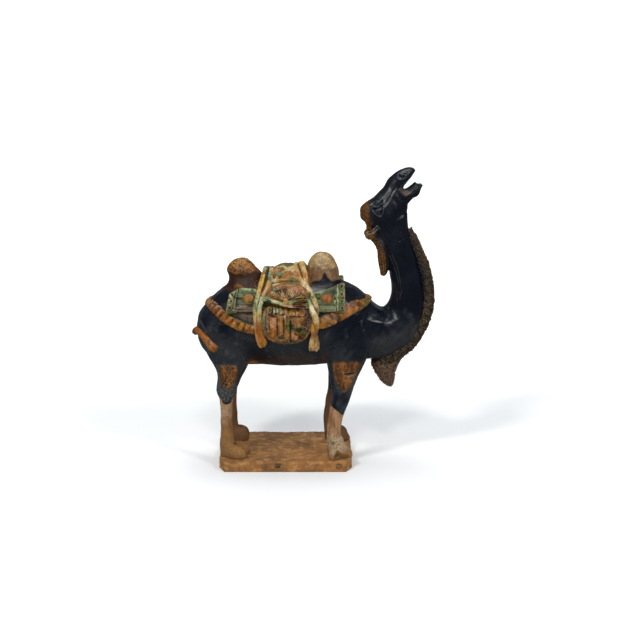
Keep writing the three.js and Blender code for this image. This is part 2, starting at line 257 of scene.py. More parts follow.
def strand(path, radius, sides=14, flat=1.0, grooves=0, twist=30, depth=0.3):
    # a tube on a path: radius is a list of (share, radius), and grooves run round it as in a twist
    rings = len(path) - 1
    length = np.linalg.norm(np.diff(path, axis=0), axis=1).sum()
    ahead, out, across = outwardFrame(path)
    shares, sizes = np.array(radius, float).T

    def shape(along, around):
        share, isRing = endsClosed(along, rings)
        index = np.round(share * rings).astype(int)
        turn = 2 * np.pi * around
        size = np.interp(share, shares, sizes)
        lay = grooves * turn + 2 * np.pi * share * length / twist
        size = isRing * (size - depth * (grooves > 0) * (0.5 + 0.5 * np.cos(lay)))
        outwards, sideways = size * flat * np.cos(turn), size * np.sin(turn)
        return path[index] + out[index] * outwards[:, None] + across[index] * sideways[:, None]

    return wrapped(rings + 2, sides, shape)


def together(meshes):
    # several meshes as one, which takes their place
    form = bmesh.new()
    for mesh in meshes:
        form.from_mesh(mesh)
        bpy.data.meshes.remove(mesh)
    return toMesh(form)


def fused(meshes, voxel, rounds=4):
    # overlapping closed forms as one skin of even small faces, with its creases softened
    worker = added("worker", together(meshes))
    remesh = worker.modifiers.new("remesh", "REMESH")
    remesh.mode = "VOXEL"
    remesh.voxel_size = voxel
    remesh.use_smooth_shade = True
    soften = worker.modifiers.new("soften", "SMOOTH")
    soften.iterations = rounds
    bpy.context.view_layer.update()
    evaluated = worker.evaluated_get(bpy.context.evaluated_depsgraph_get())
    mesh = bpy.data.meshes.new_from_object(evaluated)
    bpy.data.objects.remove(worker)
    return mesh


def refined(mesh, isFine):
    # faces are cut in four where isFine says so
    form = bmesh.new()
    form.from_mesh(mesh)
    fine = isFine(readPoints(mesh))
    edges = [edge for edge in form.edges if fine[edge.verts[0].index] and fine[edge.verts[1].index]]
    bmesh.ops.subdivide_edges(form, edges=edges, cuts=1, use_grid_fill=True)
    return writtenBack(form, mesh)


def cutOff(mesh, point, normal, keepAbove):
    # the mesh on one side of a plane, closed flat there
    form = bmesh.new()
    form.from_mesh(mesh)
    everything = form.verts[:] + form.edges[:] + form.faces[:]
    bmesh.ops.bisect_plane(form, geom=everything, plane_co=point, plane_no=normal,
                           clear_inner=keepAbove, clear_outer=not keepAbove)
    rim = [edge for edge in form.edges if edge.is_boundary]
    filled = bmesh.ops.holes_fill(form, edges=rim, sides=0)
    for face in filled["faces"]:
        face.smooth = False
    for edge in rim:
        edge.smooth = False
    bmesh.ops.recalc_face_normals(form, faces=form.faces)
    return writtenBack(form, mesh)


def fromLine(spots, path):
    # how far each flat point is from a line of flat points
    best = np.full(len(spots), np.inf)
    for start, end in zip(path[:-1], path[1:]):
        run = end - start
        share = np.clip(((spots - start) @ run) / max(run @ run, 1e-9), 0, 1)
        best = np.minimum(best, np.linalg.norm(spots - start - share[:, None] * run, axis=1))
    return best


def strokeOn(points, facing, line, reach, height, loop=False, side=0):
    # a tool mark seen from the side: a ridge, or a groove where height is negative
    path = curveAt(line, np.linspace(0, 1, 7 * len(line)), loop) if len(line) > 2 else np.array(line, float)
    spots = points[:, [0, 2]]
    near = np.all((spots > path.min(0) - reach) & (spots < path.max(0) + reach), axis=1) & (facing > 0)
    if side:
        near &= points[:, 1] * side > 0
    mark = np.zeros(len(points))
    gap = np.minimum(fromLine(spots[near], path) / reach, 1)
    mark[near] = height * (1 - gap**2) ** 2 * facing[near]
    return mark


def carve(mesh, strokes, extra=lambda points: 0):
    # strokes are (line, reach, height, options): the highest ridge and the deepest groove hold at a point,
    # and extra is a relief all over
    points, normals = readPoints(mesh), readNormals(mesh)
    facing = ease(0.02, 0.35, normals[:, 1] * np.sign(points[:, 1]))
    ridges, grooves = np.zeros(len(points)), np.zeros(len(points))
    for line, reach, height, *options in strokes:
        mark = strokeOn(points, facing, line, reach, height, **dict(*options))
        ridges, grooves = np.maximum(ridges, mark), np.minimum(grooves, mark)
    relief = ridges + grooves + extra(points)
    setPoints(mesh, points + normals * relief[:, None])


def cavity(mesh, rounds=10):
    # how far each point stands out of its softened surroundings: over 0 on ridges, under 0 in hollows
    points, normals = readPoints(mesh), readNormals(mesh)
    ends = np.empty(2 * len(mesh.edges), np.int32)
    mesh.edges.foreach_get("vertices", ends)
    a, b = ends.reshape(-1, 2).T
    size = len(points)
    links = np.maximum(np.bincount(a, minlength=size) + np.bincount(b, minlength=size), 1)
    soft = points.copy()
    for _ in range(rounds):
        for k in range(3):
            around = np.bincount(a, soft[b, k], size) + np.bincount(b, soft[a, k], size)
            soft[:, k] += 0.6 * (around / links - soft[:, k])
    return np.sum((points - soft) * normals, 1)


def insideOf(spots, outline):
    # signed distance from a closed flat outline, positive inside it
    path = curveAt(outline, np.linspace(0, 1, 6 * len(outline)), True)
    inside = np.zeros(len(spots), bool)
    for (ax, az), (bx, bz) in zip(path[:-1], path[1:]):
        if az == bz:
            continue
        crosses = (az > spots[:, 1]) != (bz > spots[:, 1])
        inside ^= crosses & (spots[:, 0] < (bx - ax) * (spots[:, 1] - az) / (bz - az) + ax)
    return np.where(inside, 1, -1) * fromLine(spots, path)


def store(mesh, name, values):
    values = np.asarray(values, np.float32)
    if values.ndim == 1:
        mesh.attributes.new(name, "FLOAT", "POINT").data.foreach_set("value", values)
    else:
        mesh.attributes.new(name, "FLOAT_COLOR", "POINT").data.foreach_set("color", values.ravel())


def laidOver(colours, tone, share):
    # a tone laid over the colours of all points, by a share for each
    return colours + (np.array(linear(tone)) - colours) * share[:, None]


def painted(mesh, ground, splashes, wander=3.0, seed=1, rounds=10, crest=0.6):
    # the glazes as they were dabbed on: each splash is (colour, centre, radii), the same on both flanks
    points = readPoints(mesh)
    moved = points + wander * np.stack([ripple(points, 13, seed + k) for k in range(3)], 1)
    moved[:, 1] = np.abs(moved[:, 1])
    colours = np.tile(linear(glazes[ground]), (len(points), 1))
    for glaze, centre, radii in splashes:
        fromRim = 1 - np.linalg.norm((moved - centre) / radii, axis=1)
        colours = laidOver(colours, glazes[glaze], ease(-0.12, 0.3, fromRim))
    store(mesh, "glaze", colours)
    raised = cavity(mesh, rounds)
    store(mesh, "hollow", np.where(raised > 0, crest * raised, raised))


def repainted(mesh, *layers):
    # further tones over the glaze: each layer is a tone and its share for each point
    flat = np.empty(4 * len(mesh.vertices), np.float32)
    mesh.attributes["glaze"].data.foreach_get("color", flat)
    colours = flat.reshape(-1, 4)
    for tone, share in layers:
        colours = laidOver(colours, tone, share)
    mesh.attributes["glaze"].data.foreach_set("color", colours.astype(np.float32).ravel())


def piece(name, mesh, material, cadNode):
    mesh.name = name
    mesh.materials.clear()
    mesh.materials.append(material)
    made = added(name, mesh)
    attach(made, "root")
    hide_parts(cadNode)
    print(name, "has", len(mesh.polygons), "faces")


def camelPiece(name, mesh, material):
    # a finished mesh taken from the grid to metres
    setPoints(mesh, readPoints(mesh) * gridStep + [0, 0, soleLevel])
    piece(name, mesh, material, "camel")


# Glazes and clays, in the words of a potter's bench
glazes = {
    "black": "#0a0d14", "green": "#56683a", "paleGreen": "#94a472", "darkGreen": "#29351e",
    "cream": "#c6ab74", "paleCream": "#dccba2", "amber": "#9c5b1b", "darkAmber": "#5f350d",
    "yellow": "#c69530", "tan": "#8f6234", "brown": "#4a2d16", "redBrown": "#4a200e",
    "greyBrown": "#5d4c3d", "pink": "#b3805a", "olive": "#5a561f", "greyGreen": "#6b6e4c",
    "deepBrown": "#1e1308", "pinkClay": "#755a48", "rust": "#7d4119", "orange": "#a6701d",
    "moss": "#414d2c", "gold": "#915e24", "umber": "#453629",
}
# settings that several nodes share
smooth = {"interpolation_type": "SMOOTHSTEP"}
multiplied = {"data_type": "RGBA", "blend_type": "MULTIPLY"}


def node(tree, kind, inputs=(), **settings):
    # a shader node with its settings, its inputs set or linked in order or by name, giving its outputs
    made = tree.nodes.new("ShaderNode" + kind)
    for key, value in settings.items():
        setattr(made, key, value)
    for key, value in inputs.items() if isinstance(inputs, dict) else enumerate(inputs):
        if isinstance(value, bpy.types.NodeSocket):
            tree.links.new(value, made.inputs[key])
        else:
            made.inputs[key].default_value = value
    return made.outputs


def newMaterial(name):
    material = bpy.data.materials.new(name)
    material.use_nodes = True
    tree = material.node_tree
    return material, tree, tree.nodes["Principled BSDF"]


def grain(tree, size, detail=3, roughness=0.55, stretch=(1, 1, 1)):
    # noise whose lumps are about size millimetres, in the object's own place
    place = node(tree, "TexCoord")["Object"]
    if stretch != (1, 1, 1):
        place = node(tree, "Mapping", {"Vector": place, "Scale": stretch})[0]
    settings = {"Vector": place, "Scale": 1000 / size, "Detail": detail, "Roughness": roughness}
    return node(tree, "TexNoise", settings)["Fac"]


def layered(tree, colour, *layers):
    # tones laid over a colour. A layer is a tone and its share, or a tone, a value, the two limits between
    # which it is eased, the shares at both (0 and 1 if left out) and a mask that weakens the layer
    colour = linear(colour) if isinstance(colour, str) else colour
    for tone, share, *rest in layers:
        if rest:
            share = node(tree, "MapRange", (share, *rest[:4]), **smooth)[0]
        if rest[4:]:
            share = node(tree, "Math", (share, rest[4]), operation="MULTIPLY")[0]
        tone = linear(tone) if isinstance(tone, str) else tone
        colour = node(tree, "Mix", {0: share, 6: colour, 7: tone}, data_type="RGBA")[2]
    return colour


def setSurface(tree, shader, colour, roughness, ior, bumps):
    # the shader's inputs, and its bumps as (height, distance in metres), one over the other
    for name, value in (("Base Color", colour), ("Roughness", roughness), ("IOR", ior)):
        if isinstance(value, bpy.types.NodeSocket):
            tree.links.new(value, shader.inputs[name])
        else:
            shader.inputs[name].default_value = value
    for height, distance in bumps:
        inputs = {"Height": height, "Distance": distance, "Strength": 1.0}
        if shader.inputs["Normal"].is_linked:
            inputs["Normal"] = shader.inputs["Normal"].links[0].from_socket
        tree.links.new(node(tree, "Bump", inputs)[0], shader.inputs["Normal"])


def camelGlaze():
    # lead glaze over buff earthenware, poured and left bare below: deep glossy blue-black where it is
    # thick, thinner and paler on ridges, amber and cream where it was dabbed, and porous clay below.
    # Painted light too: highlights on the pale ridges and the top of the rear hump, shade in the hollows,
    # on the lower far legs and in the near fore foot's arch, and the floor's reflection in the grey film
    material, tree, shader = newMaterial("lead-glazed earthenware, black over buff clay")
    broad = grain(tree, 45, 2)
    runs = grain(tree, 10, 3, 0.6, (1, 1, 0.35))
    fine = grain(tree, 3, 4, 0.6)
    dots = grain(tree, 2.6, 2, 0.5)
    wave = grain(tree, 16, 2, 0.5)
    wander = node(tree, "Math", (grain(tree, 9, 4, 0.65), 0.5), operation="SUBTRACT")[0]
    marks = {name: node(tree, "Attribute", attribute_name=name)["Fac"] for name in (
        "clay", "amber", "cloth", "brown", "tan", "cream", "soil", "chalky", "pitted", "bright", "neckAndHeadAmber",
        "dustAndReflection", "shaded", "matt", "hollow")}
    hollow, pitted, dustAndReflection = marks["hollow"], marks["pitted"], marks["dustAndReflection"]

    def zone(name, soft, reach):
        # a glaze whose edge wanders from the one on the mesh by half its reach, both in steps
        edge = node(tree, "Math", (wander, reach, marks[name]), operation="MULTIPLY_ADD")[0]
        return node(tree, "MapRange", (edge, -soft, soft), **smooth)[0]

    # darker in the hollows: glaze pooled there, and painted shade in the creases
    deep = node(tree, "MapRange", (hollow, -0.25, -0.8, 0, 0.9), **smooth)[0]
    darkSpots = node(tree, "MapRange", (dots, 0.4, 0.52, 1, 0), **smooth)[0]
    darkSpots = node(tree, "Math", (darkSpots, pitted), operation="MULTIPLY")[0]
    darkSpots = node(tree, "Math", (darkSpots, deep), operation="MAXIMUM")[0]
    amber = layered(
        tree, "#4e2c0d", ("#8f571c", runs, 0.35, 0.65), ("#382910", broad, 0.45, 0.7, 0, 0.6),
        # brighter amber towards the rear hump's top: its glaze, and painted highlight
        (layered(tree, "#7d4a15", ("#b57a2b", runs, 0.35, 0.65)), marks["bright"]),
        (layered(tree, "#261605", ("#643c12", fine, 0.38, 0.6)), marks["neckAndHeadAmber"]), ("#1a1008", darkSpots))
    cream = layered(tree, "#84683f", ("#ad9464", runs, 0.3, 0.7), ("#6b4c30", darkSpots, 0, 1, 0, 0.6))
    tan = layered(tree, "#5c3f29", ("#8a6947", runs, 0.3, 0.7), ("#4a3020", darkSpots, 0, 1, 0, 0.6))
    brown = layered(tree, "#241006", ("#3e200d", runs, 0.3, 0.7))
    cloth = layered(tree, "#3c3026", ("#68574a", runs, 0.3, 0.7), ("#2c2018", fine, 0.36, 0.5, 0.7, 0))
    clay = layered(
        tree, "#855c3f", ("#a37d59", runs, 0.4, 0.65),
        (layered(tree, "#7c5732", ("#99703f", broad, 0.35, 0.7)), marks["soil"]),
        ("#a79676", fine, 0.35, 0.6, 0.4, 1, marks["chalky"]), ("#5a3e28", fine, 0.35, 0.5, 0.5, 0),
        # painted shade: bare clay darker in its hollows, on the lower far legs and in the arch of the near
        # fore foot
        ("#4c3422", hollow, -0.15, -0.9, 0, 0.7), ("#4a3322", marks["shaded"]))
    inAmber, inCloth, bare = zone("amber", 3, 9), zone("cloth", 2.5, 6), zone("clay", 0.5, 3)
    glazed = node(tree, "MapRange", (bare, 0, 1, 1, 0), **smooth)[0]
    olive = node(tree, "Math", (zone("amber", 6, 9), inAmber), operation="SUBTRACT")[0]
    warm = node(tree, "Math", (inAmber, inCloth), operation="MAXIMUM")[0]
    colour = layered(
        tree, "#060a13", ("#0e131c", broad, 0.35, 0.7), ("#22201a", runs, 0.6, 0.8, 0, 0.4),
        # a thin grey film where the belly and flanks have weathered, which is also a painted reflection of
        # the pale floor on the lower flanks and chest
        ("#232426", runs, 0.25, 0.6, 0.6, 1, dustAndReflection), ("#3c4044", fine, 0.5, 0.66, 0, 0.4, dustAndReflection),
        # hair that the glaze barely covers shows pale specks
        ("#63635f", fine, 0.42, 0.6, 0.15, 0.6, pitted),
        # where amber runs into black it turns olive
        ("#3a3114", olive), (cloth, inCloth), (brown, zone("brown", 2.5, 9)), (tan, zone("tan", 2, 9)),
        (amber, inAmber), (cream, zone("cream", 3.5, 12)), (clay, bare),
        # the glaze thins on sharp ridges, to a slate grey or to buff, and these pale ridge lines are also
        # painted highlights
        (layered(tree, "#52585a", ("#8f7248", warm)), hollow, 0.1, 0.7, 0, 0.34, glazed))
    matt = node(tree, "Math", (bare, marks["matt"]), operation="MAXIMUM")[0]
    gloss = node(tree, "MapRange", (broad, 0.3, 0.7, 0.1, 0.19), **smooth)[0]
    for mark, share in ((pitted, 0.08), (matt, 0.65)):
        gloss = node(tree, "Math", (mark, share, gloss), operation="MULTIPLY_ADD")[0]
    mirrored = node(tree, "MapRange", (matt, 0, 0.8, 0.5, 0.2), **smooth)[0]
    tree.links.new(mirrored, shader.inputs["Specular IOR Level"])
    worn = node(tree, "Math", (bare, pitted), operation="MAXIMUM")[0]
    worn = node(tree, "Math", (worn, 0.35), operation="MAXIMUM")[0]
    rough = node(tree, "Math", (fine, worn), operation="MULTIPLY")[0]
    setSurface(tree, shader, colour, gloss, 1.5, [(wave, 0.0006), (rough, 0.0014)])
    return material


def packGlaze():
    # the same lead glazes dabbed over white slip: runny and glossy, dark where they pool in the
    # hollows, which is also painted shade there, paler where they slipped off the ridges, speckled with
    # pinholes
    material, tree, shader = newMaterial("three-colour lead glaze over white slip")
    glaze = node(tree, "Attribute", attribute_name="glaze")["Color"]
    hollow = node(tree, "Attribute", attribute_name="hollow")["Fac"]
    streak = grain(tree, 7, 4, 0.65, (1, 1, 0.45))
    blot = grain(tree, 13, 3, 0.6)
    speck = grain(tree, 2.0, 3, 0.6)
    pooled = node(tree, "Mix", {0: 1.0, 6: glaze, 7: linear("#a98f57")}, **multiplied)[2]
    colour = layered(
        tree, glaze, (pooled, streak, 0.34, 0.62, 0.7, 0), ("#a37a3e", blot, 0.56, 0.72, 0, 0.3),
        ("#4d3618", blot, 0.42, 0.3, 0, 0.5), ("#cfb680", hollow, 0.2, 0.9, 0, 0.32),
        # near black in the hollows: pooled glaze and painted shade
        ("#1a130a", hollow, -0.08, -0.75, 0, 0.88), ("#2a1d10", speck, 0.34, 0.43, 0.6, 0))
    gloss = node(tree, "MapRange", (streak, 0.3, 0.7, 0.09, 0.24), **smooth)[0]
    setSurface(tree, shader, colour, gloss, 1.5, [(streak, 0.0018), (speck, 0.001)])
    return material


def hairGlaze():
    # thin dark glaze dragged over rough hair: mostly matt, worn to amber and buff on the tips, with painted
    # shade between the locks and pale specks painted as highlights
    material, tree, shader = newMaterial("thin dark glaze over rough clay hair")
    glaze = node(tree, "Attribute", attribute_name="glaze")["Color"]
    hollow = node(tree, "Attribute", attribute_name="hollow")["Fac"]
    middle = grain(tree, 6, 4, 0.65)
    fine = grain(tree, 1.8, 4, 0.65)
    dragged = node(tree, "Mix", {0: 1.0, 6: glaze, 7: linear("#c9a470")}, **multiplied)[2]
    colour = layered(
        tree, glaze, (dragged, middle, 0.4, 0.65, 0, 0.7), ("#755a32", hollow, 0.3, 0.9, 0, 0.45),
        # near black between the locks: dark glaze and painted shade
        ("#0b0907", hollow, 0.1, -0.3, 0, 0.95), ("#18120b", fine, 0.36, 0.48, 0.6, 0),
        # pale specks: painted highlights
        ("#93723d", fine, 0.55, 0.68, 0, 0.4))
    gloss = node(tree, "MapRange", (middle, 0.3, 0.7, 0.2, 0.5), **smooth)[0]
    setSurface(tree, shader, colour, gloss, 1.5, [(middle, 0.0012), (fine, 0.0009)])
    return material


def earthyClay():
    # unglazed earthenware stained by the ground it lay in: dull, orange-buff, with grey and dark stains
    material, tree, shader = newMaterial("unglazed earthenware with earth stains")
    broad = grain(tree, 60, 3, 0.6)
    middle = grain(tree, 11, 4, 0.65, (0.7, 1, 1))
    fine = grain(tree, 1.6, 4, 0.7)
    inwards = node(tree, "SeparateXYZ", [node(tree, "TexCoord")["Object"]])[1]
    colour = layered(
        tree, "#83592f", ("#a06c36", broad, 0.35, 0.65), ("#6f5335", inwards, -0.03, 0.06, 0, 0.45),
        ("#c49358", middle, 0.45, 0.7, 0, 0.75), ("#5c4329", middle, 0.45, 0.28, 0, 0.7),
        ("#553a22", fine, 0.33, 0.5, 0.7, 0))
    setSurface(tree, shader, colour, 0.9, 1.45, [(middle, 0.002), (fine, 0.0006)])
    return material


def plugPaste(name, tone):
    # the paste that fills a sample hole: smooth, dull and a shade apart from the clay
    material, tree, shader = newMaterial(name)
    fine = grain(tree, 1.5, 3, 0.6)
    colour = layered(tree, tone, ("#6b5236", fine, 0.3, 0.7))
    setSurface(tree, shader, colour, 0.8, 1.5, [(fine, 0.0003)])
    return material


camelMaterial = camelGlaze()
packMaterial = packGlaze()
hairMaterial = hairGlaze()
plinthMaterial = earthyClay()
print("materials made")

# Cross-sections as [x, z] of the upper point, [x, z] of the lower one, half the width, and for a leg
# how far it stands out, as a share of the spread
bodyForm = {
    "torso": [
        [-163, 236, -163, 222, 6], [-158, 256, -158, 204, 26], [-146, 275, -147, 186, 44],
        [-127, 294, -127, 171, 58], [-96, 313, -96, 163, 68], [-50, 320, -50, 162, 73],
        [0, 320, 0, 160, 74], [50, 320, 50, 161, 73], [90, 319, 90, 165, 69], [120, 310, 120, 168, 63],
        [145, 292, 147, 172, 55], [160, 270, 166, 186, 42], [170, 245, 174, 215, 18],
    ],
    "torsoPower": 2.15,
    "neck": [
        [100, 312, 128, 171, 60], [142, 294, 184, 173, 51], [162, 275, 220, 192, 43],
        [177, 268, 243, 218, 37], [189, 279, 253, 250, 33.5], [193, 300, 256, 284, 31],
        [190, 328, 249, 322, 29], [184, 355, 240, 356, 27.5], [175, 383, 229, 388, 26],
        [161, 404, 222, 413, 25], [148, 422, 219, 440, 22],
    ],
    "rearHump": [
        [-120, 292, -30, 296, 46], [-104, 314, -38, 318, 34], [-103, 327, -42, 330, 28.5],
        [-106, 335, -47, 336, 28.5], [-104, 343, -54, 343, 25.5], [-97, 352, -62, 352, 19.5],
        [-86, 358.6, -72, 358.6, 7],
    ],
    "frontHump": [
        [34, 294, 115, 296, 46], [38, 314, 101, 319, 36], [39, 337, 97, 338, 29],
        [44, 355, 90, 355, 23], [54, 366, 83, 365, 14], [66, 370, 75, 369.6, 4],
    ],
    "voxel": 2.45,
    # a point and the direction of the plane that cuts the neck in two, and how much longer both are at first
    "neckCut": [(190, 0, 297), (0.8, 0, 1)], "bodySpare": 18, "headSpare": 22,
    # where the faces are smaller: from x to x, from z to z, and on the near side only or on both
    "fine": [
        (-200, 120, 326, 400, False), (-200, -36, 302, 400, True), (112, 136, 220, 260, True),
        (138, 199, 246, 280, True), (-200, -80, 98, 172, False), (80, 140, 128, 176, False),
    ],
}
legForm = {
    "hind": [
        [-46, 222, -150, 222, 24, 0.82], [-58, 188, -141, 190, 25, 0.9], [-72, 160, -125, 162, 21, 0.96],
        [-83, 136, -123, 137, 15.5, 1], [-91, 118, -125, 121, 13, 1], [-96, 98, -119, 100, 11, 1],
        [-97, 62, -119, 62, 10.5, 1], [-96, 34, -120, 34, 12, 1], [-93, 16, -121, 16, 15, 1],
        [-91, -8, -120, -8, 16, 1],
    ],
    "fore": [
        [154, 214, 66, 214, 24, 0.8], [149, 184, 74, 186, 24, 0.86], [137, 158, 79, 158, 20.5, 0.94],
        [125, 130, 83, 130, 17, 1], [118, 106, 83, 106, 14.5, 1], [106, 76, 79, 78, 12, 1],
        [101, 50, 75, 50, 11.5, 1], [102, 34, 75, 34, 13, 1], [104, 16, 76, 16, 15.5, 1],
        [104, -8, 78, -8, 16, 1],
    ],
    # sections, middle of the foot, side, shift along the figure, heading of the foot, toes' splay and size
    "stance": [
        ("hind", -105, -1, 0, 0.14, 0.17, (24, 12.5, 19)), ("hind", -108, 1, 0.5, 0.05, 0.17, (20, 12, 19)),
        ("fore", 89, -1, 0, 1.0, 0.62, (19, 10, 17)), ("fore", 88, 1, -5, 0.1, 0.2, (22, 11, 18)),
    ],
    "toeHeight": 4, "toeReach": (14, 10.5),
    # the near fore foot is one broad mass above its toes
    "broadFoot": [((15, 14, 7), (92, -51, 32), (0, 0.12, 0)), ((18, 19, 21), (96, -56, 8), (0, 0.2, 0))],
}
headForm = {
    "skull": [
        [134, 443, 140, 430, 7], [137, 451, 150, 413, 17], [146, 459, 174, 408, 24],
        [158, 467, 199, 416, 27], [168, 477, 214, 432, 24.5], [177, 488, 220, 455, 20.5],
        [184, 499, 212, 481, 17.5], [197, 511, 216.5, 491, 17.5], [211, 518, 224.5, 500.5, 16.5],
        [222, 520, 229, 508.5, 12.5], [229.5, 518.5, 232.5, 514, 5],
    ],
    "lowerJaw": [
        [196, 472, 208.5, 439, 15], [208, 480, 221, 456, 14.5], [218, 485, 228.5, 465, 13.5],
        [226.5, 490.5, 237, 468.8, 12.5], [232, 495, 241, 474.8, 11.5], [236, 491.5, 242, 479.2, 10],
        [242, 492.3, 244.5, 485, 8], [246, 489.5, 246.6, 487.5, 3],
    ],
    "napeLock": [
        [146, 402, 176, 408, 17], [163, 378, 190, 384, 15], [168, 352, 190, 352, 11.5],
        [171, 336, 186, 333, 8], [173, 326, 181, 325, 3.5],
    ],
    # the poll and the nape, then on both sides the eyeball, brow, laid-back ear, its edge and nostril's rim
    "middleBalls": [
        ((12.5, 15, 15), (147, 0, 438), (0, 0.35, 0)), ((8, 13, 13), (153.5, 0, 413), (0, 0.1, 0)),
    ],
    "sideBalls": [
        ((7, 5.5, 5.5), (166.5, 23, 447), (0, -0.75, 0)), ((13, 4, 3.5), (164, 22, 457), (0, -0.8, 0.1)),
        ((10, 6.5, 8), (152.5, 16, 402), (0, -0.3, -0.2)), ((13, 5, 5.5), (161, 19, 410), (0, -0.75, -0.1)),
        ((6, 3, 4), (207, 15.5, 505), (0, -0.6, 0)),
    ],
    "voxel": 1.15,
}


def legs():
    parts = []
    for name, footX, side, shift, heading, splay, toeRadii in legForm["stance"]:
        parts.append(skin(legForm[name], 36, 48, side, shift))
        for toe in (-1, 1):
            reachX, reachY = legForm["toeReach"][0], toe * legForm["toeReach"][1]
            turn = heading * side
            place = (
                footX + shift + reachX * math.cos(turn) - reachY * math.sin(turn),
                side * legSpread + reachX * math.sin(turn) + reachY * math.cos(turn),
                legForm["toeHeight"],
            )
            parts.append(pebble(toeRadii, place, (0, 0, turn + toe * splay)))
    return parts + [pebble(*ball) for ball in legForm["broadFoot"]]


# Tool marks on the body and legs: a line seen from the side, how far the mark reaches, and its height
bodyStrokes = [
    ([(141, 270), (150, 262), (167, 254), (184, 250)], 2.4, -1.3),
    ([(146, 257), (156, 250), (174, 247)], 3, 0.4),
    ([(176, 275), (181, 266), (185, 256)], 2.3, -1.6),
    ([(186, 274), (191, 264), (195, 254)], 2.4, -1.4),
    ([(118, 244), (112, 205)], 34, 2.6), ([(-149, 247), (-142, 238), (-137, 229)], 5, 1.5),
    ([(-120, 240), (-100, 212)], 36, 2.4),
    ([(-58, 206), (-46, 184)], 22, -2.0),
    ([(70, 200), (66, 176)], 16, -1.6),
    ([(109, 157), (116, 156.5), (124, 158)], 3.4, -3.8),
    (circle(-48.6, 314, 5, 5), 2.1, 1.9, {"loop": True}),
    ([(-51, 314), (-46, 316)], 1.8, 1.3), ([(-60, 313), (-56, 319), (-60, 324)], 2.0, 1.0),
    ([(-88, 310.5), (-77, 311.5)], 5, 2.6),
    ([(-90, 262), (-72, 255), (-54, 252)], 3.5, -1.2), ([(-86, 272), (-70, 266), (-54, 263)], 3, 1.0),
    ([(-86, 279), (-70, 274), (-54, 271)], 2.4, -1.0),
    ([(119, 246), (118, 238), (123, 228), (121, 220)], 2.2, 2.2),
    ([(124, 244), (131, 236), (134, 224)], 2.2, 1.2),
    ([(115, 229), (119, 224), (117, 219)], 1.8, 1.0), ([(125, 229), (127, 222)], 1.8, 1.2),
    ([(-120, 122), (-117, 74), (-120, 36)], 4.5, -1.3),
    ([(-98, 120), (-100, 74), (-97, 40)], 4, -1.0),
    ([(82, 92), (79, 60), (77, 34)], 2.6, -1.8),
    ([(87, 86), (85, 60), (83, 34)], 2.4, 1.2),
    ([(91, 84), (89, 60), (88, 34)], 2.2, -1.4),
    ([(98, 78), (96, 44)], 2.4, -1.2),
    ([(80, 40), (91, 37), (104, 39)], 3.0, -1.0),
    ([(84, 2), (88, 10), (94, 16.5), (102, 10.5), (114, 3)], 2.2, -1.6, {"side": -1}),
    ([(91, 3), (96, 9), (104, 2)], 7.0, -2.5, {"side": -1}),
] + [
    # drops of glaze down the near shoulder, which catch the light
    ([(x, 253 - 5 * k), (x + 4, 254 - 5 * k)], 3.1, 2.3, {"side": -1})
    for k, x in enumerate(123 + 1.5 * np.sin(range(6)))
]
neckStrokes = [
    ([(187, 366), (196, 345), (203, 322), (210, 300)], 1.7, 1.0),
    ([(192, 366), (201, 344), (207, 318), (207, 288)], 1.7, 1.0),
    ([(190, 366), (199, 345), (205, 320), (208, 298)], 1.6, -1.1),
    ([(184, 352), (192, 330), (201, 304), (203, 284)], 1.7, 0.9),
    ([(182, 360), (189, 338), (197, 316)], 1.6, -1.0),
]
headStrokes = [
    ([(176, 457), (180, 465), (185, 472.5), (190, 481.5), (195, 496)], 1.8, 0.9),
    ([(177, 450), (185, 460), (189, 468), (195, 478), (200, 486.5)], 1.7, 0.9),
    ([(181, 460), (187, 470), (192, 480)], 1.7, -0.5),
    ([(199, 502), (202, 508), (209, 510.5), (217, 509.5), (219, 506), (214, 502), (208, 499.5),
      (202, 499.5)], 1.6, 1.5, {"loop": True}),
    ([(204, 505), (209, 504)], 3.2, -4.0),
    ([(213, 505), (216, 507)], 1.7, 1.2),
    ([(156.3, 455), (154.3, 450), (156.5, 443.8), (162, 438.5), (169, 434.8), (172.6, 439.4),
      (174.8, 446.4), (174.9, 454)], 1.5, 1.2),
    ([(159, 450), (159.5, 444), (164.5, 439.5), (170, 438.2), (172.4, 446), (171.5, 452), (165, 449)],
     1.6, -2.2, {"loop": True}),
    ([(157.5, 452.5), (163.3, 451.6), (167.7, 453.6), (173.8, 457.5)], 2.0, 2.6),
    ([(161.5, 446), (163.5, 442.5), (168, 440.5)], 1.4, 1.1),
    ([(151, 453), (157, 459), (166, 461)], 2.0, 1.0),
    ([(206, 487), (205, 480), (207, 474), (213, 470), (221, 474), (228, 481)], 2.1, 1.4),
    ([(210, 483), (211, 478.5), (215, 476), (221, 480)], 2.2, -1.6),
    ([(200, 486), (201, 475), (208, 465), (220, 464)], 3.0, -1.2),
    ([(206, 488), (212, 494), (219, 500), (226, 508)], 2.0, 1.5),
    ([(203, 494), (212, 499), (220, 506)], 1.9, -1.0),
    ([(231, 478), (236, 482), (240, 488)], 1.8, -1.2), ([(224, 472), (231, 478), (236, 486)], 2.0, 1.0),
    ([(195, 464), (203, 452), (206, 438)], 7, -1.2),
    ([(184, 436), (197, 428), (212, 432)], 10, 1.2),
    ([(148, 405), (156, 408), (167, 416)], 2.2, -2.4),
    ([(144, 400), (152, 394), (163, 402), (171, 414)], 1.7, 0.9),
    ([(176, 402), (190, 390), (206, 392)], 2.0, -0.8),
] + [
    # hair combed down the lock behind the neck
    ([(150 + k, 396), (165 + k, 374), (171 + k, 350), (175 + 0.6 * k, 333)], 1.6, -0.9)
    for k in (3, 8, 13)
]


